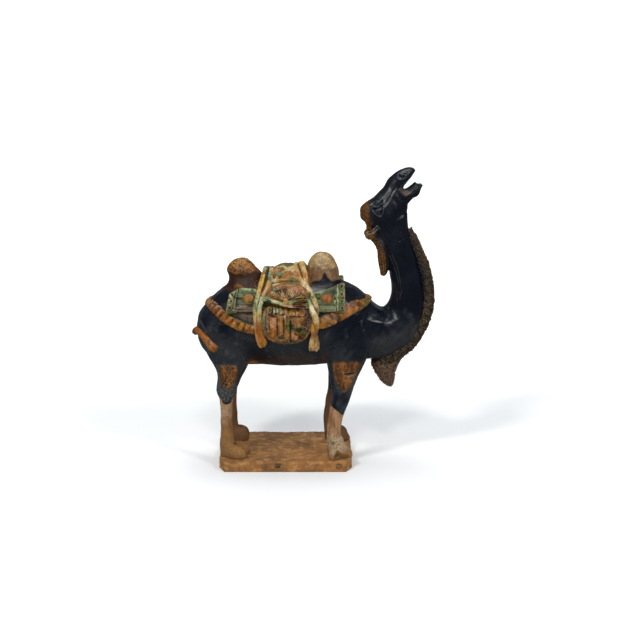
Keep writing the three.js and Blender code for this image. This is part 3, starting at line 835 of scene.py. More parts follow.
def roughParts(points):
    # 0 to 1 where hair is pitted into the surface: hocks, knees, tops of the humps, the lock at the nape
    x, _, z = points.T
    hock = within(x, -126, -119, -92, -84) * within(z, 100, 110, 170, 178)
    knee = within(x, 84, 92, 128, 138) * within(z, 122, 132, 170, 178)
    rear = ease(332, 339, z) * (x < 0)
    front = 0.6 * ease(330, 344, z) * (x > 0) * (x < 125)
    lock = 0.6 * within(z, 325, 330, 388, 398) * (x > 145) * ease(180, 172, x)
    return np.max([hock, 0.7 * knee, rear, front, lock], 0)


def hairAndPits(points):
    x, _, z = points.T
    bristle = 0.3 * ripple(points, 7, 4) - 1.3 * ease(0.35, 1.1, ripple(points * [1, 1, 0.7], 5.2, 3))
    dents = 0.4 * ripple(points, 38, 5) + 0.22 * ripple(points, 17, 6)
    # the surface is calmer at the root of the neck and bulges at the shoulder
    dents *= 1 - 0.7 * ridge(x, 198, 16) * ridge(z, 266, 16)
    bulge = 0.25 * within(x, 100, 120, 150, 170) * within(z, 215, 228, 256, 268) * ripple(points, 11, 8)
    uneven = 0.08 * ease(280, 330, z) * (x > 130) * ripple(points, 4.6, 11)
    return bristle * roughParts(points) + dents + uneven + bulge


# The outlines of the glazes and of the mouth, as x and z seen from the side
glazeEdges = {
    "hindPatch": [
        (-116, 172), (-101, 175), (-87, 172), (-86, 155), (-92, 138), (-103, 131), (-113, 135), (-117, 152),
    ],
    "forePatch": [(88, 176), (110, 179), (136, 176), (128, 154), (110, 126), (102, 128), (91, 148)],
    "belly": [(-66, 177), (-58, 178), (-46, 172), (-30, 168), (-16, 164), (-60, 161)],
    "poll": [
        (120, 468), (140, 464), (150, 458), (150, 446), (151, 432), (155, 420), (152, 408), (120, 404),
    ],
    "ear": [(130, 410), (146, 411), (158, 409), (162, 401), (156, 393), (148, 386), (130, 388)],
    "lock": [
        (146, 398), (163, 396), (177, 372), (182, 350), (183, 334), (174, 320), (160, 330), (150, 370),
    ],
    "lump": [(-89, 310.5), (-85, 314), (-78, 313.5), (-75, 310), (-80, 307), (-87, 307)],
    "rearHump": [(-130, 308), (-96, 304), (-60, 306), (-30, 316), (-34, 380), (-130, 380)],
    "frontHump": [
        (30, 322), (58, 321), (67, 328), (71, 337), (76, 328), (86, 321), (101, 322), (104, 330),
        (116, 340), (116, 380), (24, 380),
    ],
    "mouth": [(207, 485), (206.5, 478), (212, 473), (220, 474), (224, 477), (217, 478.5), (212, 481)],
    "cloth": [
        (-97, 270), (-88, 282), (-62, 296), (-54, 318), (-30, 316), (-30, 250), (-60, 252), (-80, 262),
    ],
    "arch": [(84, -2), (88, 9), (94, 17), (102, 11), (116, 3), (114, -3)],
}
# how high the bare clay reaches, by x, on the hind and the fore leg
clayTops = {
    "hind": ([-124, -116, -113, -106, -99, -96, -88], [116, 108, 101, 98, 100, 107, 116]),
    "fore": ([72, 82, 93, 104, 116], [100, 96, 88, 78, 70]),
}


def zonesOf(points):
    # signed distances from the edges of each glaze, positive inside
    x, y, z = points.T
    inside = {name: insideOf(points[:, [0, 2]], edge) for name, edge in glazeEdges.items()}
    hindTop = np.interp(x, *clayTops["hind"]) + 16 * (y > 0)
    foreTop = np.interp(x, *clayTops["fore"]) + 5 * (y > 0)
    amberTop = np.minimum(inside["rearHump"], z - 333 + 3 * ripple(points, 16, 15))
    patches = [inside[name] for name in ("hindPatch", "forePatch", "belly", "poll", "ear", "lock", "lump")]
    return {
        "clay": np.minimum(np.where(x < 0, hindTop, foreTop) - z, 140 - z),
        "amber": np.max(patches + [amberTop], 0),
        "brown": inside["rearHump"],
        "tan": np.minimum(inside["frontHump"], 354 - z),
        "cream": np.minimum(inside["frontHump"], z - 343),
        "cloth": np.maximum(inside["mouth"], inside["cloth"]),
    }


def stainsOf(points):
    # 0 to 1: earth soaked up from the plinth, lime on the near fore foot, pits, a weathered film that is
    #         also a painted floor reflection, painted shade on the lower far legs and in the arch of the
    #         near fore foot
    x, y, z = points.T
    mouth, arch = (insideOf(points[:, [0, 2]], glazeEdges[name]) for name in ("mouth", "arch"))
    uneven = ripple(points, 16, 9)
    hindSoil = ease(92, 52, z + 8 * uneven) * (x < 0)
    foreSoil = 0.5 * ease(40, 5, z + 5 * uneven) * (x > 0)
    lime = ease(43, 37, z + 2.5 * ripple(points, 7, 10)) * (x > 0) * (y < 0) * ease(8, 18, z + 3 * uneven)
    heel = 0.8 * ease(100, 92, z) * ease(60, 78, z + 6 * uneven) * (x < 0)
    inArch = ease(-0.5, 0.8, arch) * (y < -58)
    toeTop = ease(104, 108, x) * ease(20, 14, z) * (y < -40) * (x < 125)
    # a weathered grey film, which is also a painted reflection of the floor, on the lower flanks and the
    # chest
    flank = np.maximum(ease(97, 60, x) * ease(285, 255, z), 0.8 * ease(228, 200, z))
    chestTop = z - 0.3 * (x - 150) + 5 * ripple(points, 18, 16)
    dustAndReflection = np.maximum(flank * ease(-1.2, 0.6, ripple(points, 60, 12)),
                       1.1 * ease(232, 208, chestTop) * ease(138, 162, x))
    # matt places: round the saddle, under the hem, in the mouth, on the jaw and a little on the whole head
    saddle = np.where(x < 0, ease(296, 308, z), 1.4 * ease(300, 328, z)) * ease(345, 335, z) * (x < 125)
    underHem = (x < -50) * within(z, 245, 252, 290, 300) * (np.abs(y) > 50)
    jaw = 0.8 * (x > 205) * ease(492, 486, z - 0.3 * (x - 206)) * (z > 466)
    matt = np.max([saddle, underHem, ease(-1.5, 1, mouth), jaw, 0.35 * ease(385, 415, z)], 0)
    return {
        "soil": np.max([hindSoil, foreSoil, inArch, 0.7 * toeTop], 0),
        "chalky": np.maximum(0.8 * lime, 0.5 * heel) * (1 - inArch) * (1 - 0.7 * toeTop),
        "pitted": roughParts(points),
        # the amber brightens towards the top of the rear hump: its glaze, and painted highlight
        "bright": (x < 0) * ease(334, 350, z),
        # the amber is darker on the neck and head
        "neckAndHeadAmber": 1.0 * (x > 100) * (z > 200),
        "dustAndReflection": dustAndReflection,
        # painted shade on the lower far legs, and a little in the arch of the near fore foot
        "shaded": np.maximum(0.6 * ease(0, 12, y) * ease(150, 120, z), 0.35 * inArch),
        "matt": np.maximum(0.6 * matt, 0.3 * dustAndReflection),
    }


def finishedSkin(mesh, strokes, name, *cuts):
    # cut only after the carving, so that both sides of a cut keep the same surface
    carve(mesh, strokes, hairAndPits)
    points = readPoints(mesh)
    for attribute, values in {**zonesOf(points), **stainsOf(points)}.items():
        store(mesh, attribute, values)
    store(mesh, "hollow", cavity(mesh))
    for point, normal, keepAbove in cuts:
        cutOff(mesh, point, normal, keepAbove)
    camelPiece(name, mesh, camelMaterial)


def camelBody():
    form = bodyForm
    mesh = fused(legs() + [
        skin(form["torso"], 64, 64, power=form["torsoPower"]),
        skin(form["neck"], 56, 64),
        skin(form["rearHump"], 40, 32),
        skin(form["frontHump"], 40, 32),
    ], form["voxel"], 5)
    (x, y, z), normal = form["neckCut"]
    cutOff(mesh, (x, y, z + form["bodySpare"]), normal, keepAbove=False)

    def isFine(points):
        x, y, z = points.T
        fine = np.zeros(len(points), bool)
        for startX, endX, startZ, endZ, nearOnly in form["fine"]:
            isThere = (x > startX) & (x < endX) & (z > startZ) & (z < endZ)
            fine |= isThere & (y < 0) if nearOnly else isThere
        return fine

    refined(mesh, isFine)
    finishedSkin(mesh, bodyStrokes + neckStrokes, "camelBody",
                 (*form["neckCut"], False), ((0, 0, 0.3), (0, 0, 1), True))


def neckAndHead():
    parts = [
        skin(bodyForm["neck"], 64, 90),
        skin(headForm["skull"], 56, 80),
        skin(headForm["lowerJaw"], 40, 40),
        skin(headForm["napeLock"], 32, 48),
    ] + [pebble(*ball) for ball in headForm["middleBalls"]]
    for side in (-1, 1):
        parts += [pebble(*ball, side) for ball in headForm["sideBalls"]]
    mesh = fused(parts, headForm["voxel"], 5)
    (x, y, z), normal = bodyForm["neckCut"]
    cutOff(mesh, (x, y, z - bodyForm["headSpare"]), normal, keepAbove=True)
    finishedSkin(mesh, headStrokes + neckStrokes, "camelNeckAndHead", (*bodyForm["neckCut"], True))


camelBody()
neckAndHead()
print("body, neck and head modelled")

# The rough hair down the throat, over the chest to a tuft
ruffForm = {
    "sections": [
        [217, 404, 227, 412, 6], [222.5, 389, 237, 397, 12], [231, 368, 248, 374, 16],
        [243, 332, 263, 337, 18], [247.5, 286, 271, 284, 19], [238, 248, 263, 240, 20.5],
        [212, 212, 240, 197, 22], [176, 192, 218, 177, 25], [159, 165, 207, 160, 23],
        [167, 143, 201, 140, 16], [181, 125, 200, 126, 9], [190, 118, 196, 118, 3.5],
    ],
    "power": 2.3,
    "lockLength": 5.0,
    "lockWidth": 4.0,
    "lockHeight": 1.8,
}


def throatRuff():
    form = ruffForm
    table = np.array(form["sections"], float)
    rings, sides = 400, 96
    middleLine = (table[:, 0:2] + table[:, 2:4]) / 2
    length = np.linalg.norm(np.diff(middleLine, axis=0), axis=1).sum()

    def shape(along, around):
        share, isRing = endsClosed(along, rings)
        upper, lower = curveAt(table[:, 0:2], share), curveAt(table[:, 2:4], share)
        width = curveAt(table[:, 4:5], share)[:, 0]
        turn = 2 * np.pi * around
        half = (upper - lower) / 2
        girth = np.maximum((np.linalg.norm(half, axis=1) + width) / 2, 1)
        # rows of short locks run down the strip, each row set half a lock behind the next
        run = share * length
        across = np.abs(np.pi - turn) * girth / form["lockWidth"]
        across += 0.4 * np.sin(run / 8) + 0.3 * np.sin(run / 19)
        row = np.floor(across)
        sway = 0.6 * np.sin(run / 11 + 2.1 * row) + 0.45 * np.sin(run / 4.1 + 3.7 * row)
        phase = run / form["lockLength"] + 2.7 * np.sin(12.9 * row) + sway
        lock = np.abs(np.sin(np.pi * (phase + 0.6 * (across - row)))) ** 0.7
        lock = lock * np.maximum(1 - (2 * (across - row) - 1) ** 2, 0) ** 0.4
        height = form["lockHeight"] * (lock - 0.6) * (1 - 0.7 * ease(0.74, 0.86, share))
        grow = isRing * (1 + height / girth * np.minimum(share * 12, 1))
        middle = (upper + lower) / 2 + half * (grow * roundedOff(np.cos(turn), form["power"]))[:, None]
        y = width * grow * roundedOff(np.sin(turn), form["power"])
        return np.stack([middle[:, 0], y, middle[:, 1]], 1)

    def roughness(points):
        knots = 1.1 * np.minimum(ripple(points, 6, 27) ** 2, 1.5)
        return 0.55 * ripple(points, 3.4, 21) + 0.4 * ripple(points, 9, 22) + knots

    mesh = wrapped(rings + 2, sides, shape)
    points = raisedBy(mesh, roughness)
    x, _, z = points.T
    # the dark glaze of the neck runs over the inner edge of the strip
    frontEdge = np.interp(z, table[7::-1, 3], table[7::-1, 2])
    inner = ease(10, 14, frontEdge - x + 1.5 * ripple(points, 9, 28)) * ease(285, 312, z)
    store(mesh, "glaze", np.tile(linear(glazes["deepBrown"]), (len(points), 1)))
    repainted(
        mesh,
        ("#40230a", ease(-0.2, 0.9, ripple(points, 15, 24))),
        ("#2a271f", 0.7 * ease(236, 205, z + 8 * ripple(points, 14, 26))),
        ("#100f0c", 0.75 * ease(-0.3, 0.8, ripple(points, 22, 25))),
        (glazes["pinkClay"], ease(176, 158, z + 6 * ripple(points, 12, 23))),
        ("#090d14", inner),
    )
    store(mesh, "hollow", cavity(mesh, 12) * (1 - 0.7 * inner))
    camelPiece("throatRuff", mesh, hairMaterial)


throatRuff()

tailForm = {
    "path": [(-148, 6, 232), (-165, -2, 222), (-157, -26, 230), (-141, -50, 220), (-125, -60, 202)],
    "radius": [(0, 5.5), (0.25, 7.2), (0.6, 7.2), (0.85, 7.4), (0.95, 9), (1, 5)],
    "flat": 0.95, "grooves": 7, "twist": 46, "depth": 1.3, "voxel": 1.0,
    "tuft": [(10.5, 8, 8.5), (-125, -58, 205), (0, 0.8, 0)],
}


def tail():
    form = tailForm
    path, _ = evenCurve(form["path"], 120)
    hair = strand(path, form["radius"], 28, *(form[key] for key in ("flat", "grooves", "twist", "depth")))
    mesh = fused([hair, pebble(*form["tuft"])], form["voxel"], 2)
    # lines between the hairs of the tuft
    carve(mesh, [([(-138, 219), (-129 + k, 208), (-121 + k, 198 - k)], 1.4, -1.1) for k in (-6, -2, 2, 6)])
    painted(mesh, "amber", [
        ("darkAmber", (-160, 10, 222), (14, 26, 14)), ("tan", (-132, 58, 213), (6, 9, 8)),
        ("olive", (-118, 58, 198), (12, 12, 9)), ("black", (-150, 0, 236), (12, 14, 10)),
        # the grey-green dab high on the tail is a painted highlight
        ("darkAmber", (-140, 46, 222), (6, 10, 5)), ("greyGreen", (-144, 44, 234), (6, 10, 4)),
    ], 2, 33, 6)
    camelPiece("tail", mesh, packMaterial)


tail()
print("hair and tail modelled")

# The saddle blanket's pleated hem, as [x, distance from the middle plane, z] from behind the rear hump
hemForm = {
    "line": [
        (-137, 0, 277), (-132, 26, 278), (-120, 51, 273), (-98, 65, 257), (-60, 73, 243), (0, 74, 238),
        (60, 72, 252), (90, 67, 263), (113, 58, 274), (130, 45, 281), (141, 28.5, 284), (146, 0, 285.5),
    ],
    "pleat": 10.6, "thickness": 7.4, "halfHeight": 9.4, "crease": 0.34, "slant": 0.06, "lip": 0.72,
    "squareness": 2.1,
}


def hem():
    form = hemForm
    half = form["line"]
    line = half + [(x, -y, z) for x, y, z in half[-2:0:-1]]
    _, length = evenCurve(line, 10, True)
    pleats = round(length / form["pleat"])
    rings, sides = pleats * 14, 26
    path, _ = evenCurve(line, rings + 1, True)
    _, out, up = outwardFrame(path, True)

    def shape(along, around):
        index = np.round(along * rings).astype(int)
        turn = 2 * np.pi * around
        # no two pleats are quite as wide
        uneven = 0.16 * np.sin(along * 47) + 0.1 * np.sin(along * 19)
        phase = along * pleats + form["slant"] * np.sin(turn) + uneven
        puff = np.abs(np.sin(np.pi * phase)) ** 0.8
        # towards the neck the pleats are pressed flat
        calm = ease(52, 68, path[index, 0])
        puff = puff * (1 - 0.8 * calm) + 0.62 * calm
        swell = form["crease"] + (1 - form["crease"]) * puff
        thinner = 1 - 0.3 * ease(112, 140, path[index, 0])
        reach = form["thickness"] * thinner * swell * roundedOff(np.cos(turn), form["squareness"])
        halfHeight = form["halfHeight"] * (0.9 + 0.1 * puff + 0.25 * calm)
        rise = halfHeight * roundedOff(np.sin(turn), form["squareness"])
        return path[index] + out[index] * reach[:, None] + up[index] * rise[:, None]

    mesh = wrapped(rings, sides, shape)
    points = raisedBy(mesh, lambda points: 0.22 * ripple(points, 5, 31) + 0.4 * ripple(points, 13, 32))
    painted(mesh, "gold", [
        ("rust", (-120, 50, 268), (14, 20, 12)), ("amber", (-96, 64, 256), (12, 12, 8)),
        ("orange", (-70, 70, 249), (8, 12, 6)), ("darkAmber", (-70, 70, 238), (16, 16, 5)),
        ("pink", (-50, 74, 248), (8, 14, 7)), ("greyBrown", (-56, 74, 256), (14, 14, 5)),
        ("rust", (-46, 74, 234), (10, 14, 5)), ("brown", (86, 68, 258), (11, 14, 12)),
        ("orange", (64, 72, 250), (10, 12, 6)), ("olive", (58, 72, 259), (12, 12, 4)),
        ("amber", (72, 72, 244), (8, 12, 5)), ("darkAmber", (126, 50, 282), (16, 18, 10)),
        ("amber", (108, 62, 276), (12, 14, 5)), ("brown", (96, 64, 272), (7, 12, 8)),
        ("rust", (122, 56, 284), (8, 14, 4)),
        ("olive", (146, 30, 280), (8, 26, 12)), ("redBrown", (-126, 40, 280), (8, 20, 5)),
    ], 4, 32, 8, 0.5)
    # a dull green lip along the upper edge
    nearest = nearestOn(path, points)
    height = np.sum((points - path[nearest]) * up[nearest], 1) / form["halfHeight"]
    lip = ease(form["lip"], form["lip"] + 0.2, height + 0.1 * ripple(points, 6, 34))
    repainted(mesh, ("#4b4a37", lip))
    camelPiece("blanketHem", mesh, packMaterial)


hem()

# The ribbed boards of the pack frame on both flanks, each end with a stud
boardForm = {
    "length": 202, "middle": 5, "width": 50, "waist": 9, "depth": 16, "tilt": 0.6, "faceY": 61, "z": 295,
    "endStrip": 16, "proud": 1.2, "ribs": 4, "ribDepth": 1.6, "corner": 5, "studs": [-62, 75.5],
    "studRadius": 10, "studDepth": 7, "cells": 4, "cellRadius": 3.4, "slant": 0.15, "cut": (-98, 8, 0.74),
    "rise": 6, "collarGap": 0.9, "collarWidth": 1.5, "collarDepth": 1.4, "collarLift": 0.4,
    "lineSpacing": 3.1, "lineDepth": 0.7, "grooveDepth": 2.6, "cellInset": 5.8,
}
# the outline of a board's section: share around, place across, and depth behind the face
boardSection = np.array([
    (0, -25, 2.2), (0.012, -24.4, 0.7), (0.025, -23.2, 0), (0.64, 23.2, 0), (0.653, 24.4, 0.7),
    (0.665, 25, 2.2), (0.70, 25, 16), (0.96, -25, 16), (1, -25, 2.2),
])


def onFlank(points, side):
    # a board's own x, depth and height laid back on the flank
    form = boardForm
    x, depth, height = points.T
    # the upper edge dips towards the middle and rises to the front end
    sink = form["waist"] * (1 - (x / (form["length"] / 2)) ** 2) * (1 + 0.8 * ease(0, 50, x))
    sink -= form["rise"] * ease(50, 101, x)
    height = height - sink * np.maximum(height / (form["width"] / 2), 0)
    y = depth * math.cos(form["tilt"]) + height * math.sin(form["tilt"]) - form["faceY"]
    z = height * math.cos(form["tilt"]) - depth * math.sin(form["tilt"]) + form["z"]
    return np.stack([x + form["middle"], -side * y, z], 1)


def boardRelief(x, height):
    # how far the face stands out: broad ribs with fine lines, a groove between the planks, and end strips
    form = boardForm
    half, end = form["width"] / 2, form["length"] / 2 + form["proud"]
    pitch, cell = form["width"] / form["ribs"], form["width"] / form["cells"]
    fromRib = np.abs(2 * (((height + half) / pitch) % 1) - 1)
    line = (0.5 + 0.5 * np.cos(2 * np.pi * height / form["lineSpacing"])) ** 3
    ribs = -form["ribDepth"] * fromRib**2.5 - form["lineDepth"] * line
    ribs -= form["grooveDepth"] * ridge(height, 0, 1.2)
    # an end strip has a raised edge on each side and between them a row of cells, each with a ring
    away, inner = np.abs(x), end - form["endStrip"]
    inCell = (height + half) % cell - cell / 2
    fromRing = np.hypot((away - end + form["cellInset"]) * 1.1, inCell)
    strip = form["proud"] - 1.0 + 2.0 * ridge(away, inner + 3.0, 2.0) + 1.3 * ridge(away, end - 1.3, 0.9)
    strip += 2.2 * ridge(fromRing, form["cellRadius"], 0.8) - 2.4 * ridge(fromRing, 0, 1.5)
    strip += 0.8 * ridge(np.abs(inCell), cell / 2, 0.5) * (away > inner + 6)
    strip -= 2.0 * (ridge(height, 0, 0.8) + ridge(away, inner + 0.3, 0.9))
    return ribs + (strip - ribs) * ease(inner - 0.6, inner + 0.4, away)


def board(side):
    # a board with its studs, each marked on the mesh: 1 on a stud, 0.4 on its collar
    form = boardForm
    end, half, corner = form["length"] / 2 + form["proud"], form["width"] / 2, form["corner"]
    rings, sides = 236, 112

    def plank(along, around):
        share, isRing = endsClosed(along, rings)
        x = end * (2 * share - 1)
        height, depth = (np.interp(around, boardSection[:, 0], boardSection[:, k]) for k in (1, 2))
        past = np.clip(np.abs(x) - (end - corner), 0, corner)
        drawIn = corner - np.sqrt(np.maximum(corner**2 - past**2, 0))
        proud = form["proud"] * ease(end - form["endStrip"] - 1, end - form["endStrip"], np.abs(x))
        height = height * (1 + (proud - drawIn) / half) * isRing
        isFace = (around > 0.02) & (around < 0.645)
        # the rear end leans, and its upper corner is broken away
        cutX, cutHeight, rise = form["cut"]
        top = np.clip(cutHeight + (x + form["middle"] - cutX) * rise, cutHeight, half)
        height = np.where(height > 0, height * top / half, height)
        depth = np.where(isFace, depth - boardRelief(x, height), depth)
        depth = np.where(isRing, depth, form["depth"] / 2) + 0.25 * drawIn * isFace
        x = x + form["slant"] * (height - cutHeight) * ease(-70, -100, x)
        return onFlank(np.stack([x, depth, height], 1), side)

    def collar(along, around):
        turn = 2 * np.pi * around
        reach = form["studRadius"] + form["collarGap"] + form["collarWidth"] * np.cos(turn)
        lift = form["collarLift"] + form["collarDepth"] * np.sin(turn)
        return np.stack([reach * np.cos(2 * np.pi * along), -lift, reach * np.sin(2 * np.pi * along)], 1)

    parts = [wrapped(rings + 2, sides, plank)]
    store(parts[0], "isStud", np.zeros(len(parts[0].vertices)))
    for x in form["studs"]:
        ball = pebble((form["studRadius"], form["studDepth"], form["studRadius"]), (0, 0, 0), sides=40)
        for part, mark in ((ball, 1.0), (wrapped(48, 10, collar), 0.4)):
            setPoints(part, onFlank(readPoints(part) + [x - form["middle"], 0, 0], side))
            closedUp(part)
            store(part, "isStud", np.full(len(part.vertices), mark))
            parts.append(part)
    return together(parts)


def packBoards():
    mesh = together([board(side) for side in (-1, 1)])
    points = readPoints(mesh)
    isStud = np.empty(len(points), np.float32)
    mesh.attributes["isStud"].data.foreach_get("value", isStud)
    painted(mesh, "moss", [
        ("green", (-64, 58, 303), (34, 16, 9)), ("paleGreen", (-66, 54, 310), (16, 12, 4)),
        ("greyGreen", (-95, 62, 290), (9, 18, 18)), ("darkGreen", (-84, 62, 292), (4, 16, 16)),
        ("umber", (-62, 72, 277), (34, 14, 9)), ("pinkClay", (-66, 68, 285), (12, 12, 3)),
        ("greyGreen", (-84, 68, 281), (12, 12, 3)), ("darkGreen", (-46, 66, 282), (5, 12, 10)),
        ("green", (80, 62, 296), (34, 20, 18)), ("darkGreen", (86, 60, 304), (8, 16, 8)),
        ("paleGreen", (62, 56, 306), (12, 12, 6)), ("greyGreen", (80, 68, 279), (24, 12, 5)),
        ("paleGreen", (92.5, 60, 296), (2.4, 20, 24)), ("greyGreen", (103, 60, 296), (4, 18, 24)),
        ("paleCream", (-93, 60, 300), (3, 9, 2)), ("paleGreen", (-88, 56, 307), (5, 12, 4)),
        ("paleGreen", (-97, 64, 285), (3, 12, 6)),
        ("paleCream", (54, 54, 313), (5, 10, 4)),
    ], 3, 41, 7, 0.9)
    onStud, collarShade = 1.0 * (isStud > 0.8), (isStud > 0.2) & (isStud < 0.8)
    repainted(
        mesh,
        (glazes["orange"], onStud),
        ("#8d6430", onStud * ease(0.8, -0.4, ripple(points, 10, 45))),
        ("#a4561c", 0.6 * onStud * (points[:, 0] > 0)),
        # the collar painted near black: painted shadow in the gap round each stud
        ("#1c2415", 0.8 * collarShade),
    )
    camelPiece("packBoards", mesh, packMaterial)


packBoards()
print("blanket hem and pack boards modelled")

# The load: a bolster over the back, and on each flank a bag whose mouth is gathered, tied and knotted
loadForm = {
    "bolster": dict(radii=(46, 62, 51), place=(8, 0, 297), powers=(2.6, 2.2, 2.2)),
    "bag": dict(radii=(43.5, 26, 37), place=(4.5, 71, 254), powers=(2.6, 2.4, 2.6)),
    "bagMouth": dict(radii=(36, 22, 20), place=(7.5, 70, 302), powers=(2.2, 2, 2)),
    "mouthTurn": 1.12,
    "knot": dict(radii=(7.5, 7, 7), place=(5.5, 92, 293)),
    "voxel": 1.15,
}


def loadStrokes():
    strokes = [
        ([(-31, 292), (-35, 273), (-35, 253), (-31.5, 236), (-24, 227)], 2.8, 2.2),
        ([(-25.5, 290), (-29, 273), (-29, 254), (-26, 240)], 2.2, 1.5),
        ([(-29, 290), (-32, 272), (-31, 246)], 1.8, -1.2),
        ([(41, 288), (46, 273), (46, 253), (42, 237), (34, 228)], 2.8, 2.2),
        ([(36.5, 286), (41, 273), (41, 254), (37.5, 240)], 2.2, 1.3),
        ([(39, 288), (43.5, 272), (42, 240)], 1.8, -1.2),
        ([(-24, 227), (-10, 221), (8, 219), (24, 222), (34, 228)], 2.8, 1.3),
        ([(-18, 257), (-18.3, 246)], 6.8, 2.4), ([(-17.6, 264), (-18.6, 236)], 4.4, 2.2),
        ([(-5.5, 258), (-5.2, 243)], 5.8, 2.2), ([(-5.3, 266), (-4.6, 234)], 3.8, 2.0),
        ([(3.1, 270), (3.1, 256)], 2.8, 1.5), ([(24, 266), (24, 250)], 8.5, 1.7),
        ([(20, 243), (20, 229)], 7.0, 1.6), ([(33, 247), (33, 231)], 5.5, 1.2),
        ([(-1, 233), (-10, 232)], 4.0, 1.2),
        ([(-11.3, 268), (-11.3, 233)], 1.8, -1.7), ([(0.4, 268), (0.4, 236)], 1.8, -1.4),
        ([(12, 262), (12, 221)], 1.9, -3.0), ([(9.7, 260), (9.8, 223)], 1.4, -1.4),
        ([(14, 243.5), (30, 242)], 2.0, -1.1), ([(-25.5, 268), (-25, 238)], 2.0, -1.4),
        ([(-26, 267.5), (-13, 268.5)], 2.0, -1.3), ([(-11, 272.5), (1, 271.5)], 2.0, -1.3),
        ([(13, 269.5), (27, 268), (39, 270)], 2.2, -1.5), ([(15, 232), (5, 226), (-6, 227)], 2.0, -0.9),
        ([(-25, 302), (-18, 314), (5, 320.5), (28, 316.5), (37, 307)], 5.0, 2.8),
        ([(-22, 298), (-16, 309), (4, 314.5), (26, 311), (34, 303)], 1.6, -1.3),
        ([(-26, 286), (4, 283.5), (38, 281)], 2.2, -1.5),
        ([(10, 298), (24, 299), (41, 296)], 3.2, -3.6),
        ([(14, 281.5), (26, 279.5), (40, 279)], 2.0, 1.0),
        ([(-22, 328.5), (-3, 331), (22, 338)], 3.6, -2.4), ([(-24, 333), (-4, 336), (16, 341)], 4.5, 1.6),
        ([(-28, 318), (0, 323.5), (30, 324)], 2.6, -1.8), ([(-12, 341), (8, 344.5), (24, 346)], 3.4, -1.6),
        ([(-20, 345), (-6, 348), (8, 346)], 3.4, 1.2), ([(-24, 323), (-10, 326), (2, 325)], 4, 1.0),
        ([(14, 330), (22, 322), (26, 314)], 3, -1.0),
    ]
    # the row of loops and folds under the cord
    for ring in ((-24, 278.7, 3.6, 4), (14.5, 276, 4.2, 4.4), (31.5, 274.5, 5, 5.4)):
        strokes.append((circle(*ring), 1.9, 1.8, {"loop": True}))
    for start, end, reach in (
        ((-17, 283), (-16, 271), 2.4), ((-11.5, 283), (-10.5, 273), 2.4), ((-5.5, 283), (-4.5, 273), 2.4),
        ((4, 282), (5, 273), 4.0), ((14.5, 277), (14.5, 275), 3.0), ((20, 283), (25, 269), 2.4),
    ):
        strokes.append(([start, end], reach, 1.8))
    # the folds of the gathered mouth run down to a narrow neck at the knot
    knotX, knotZ = 5.5, 294
    for k in range(15):
        share = k / 14
        topX, topZ = -24 + 59 * share, 300 + 14 * math.sin(math.pi * share) ** 0.8
        lowX = knotX + 9 * (share - 0.5)
        midX, midZ = 0.42 * topX + 0.58 * lowX, (topZ + knotZ) / 2
        fold = [(topX, topZ), (midX, midZ), (lowX, knotZ)]
        crease = [(topX + 2.1, topZ - 1), (midX + 1.2, midZ), (lowX + 0.3, knotZ)]
        strokes += [(fold, 2.2, 1.2 + 0.5 * (k * 7 % 3)), (crease, 1.4, -1.5)]
    return strokes


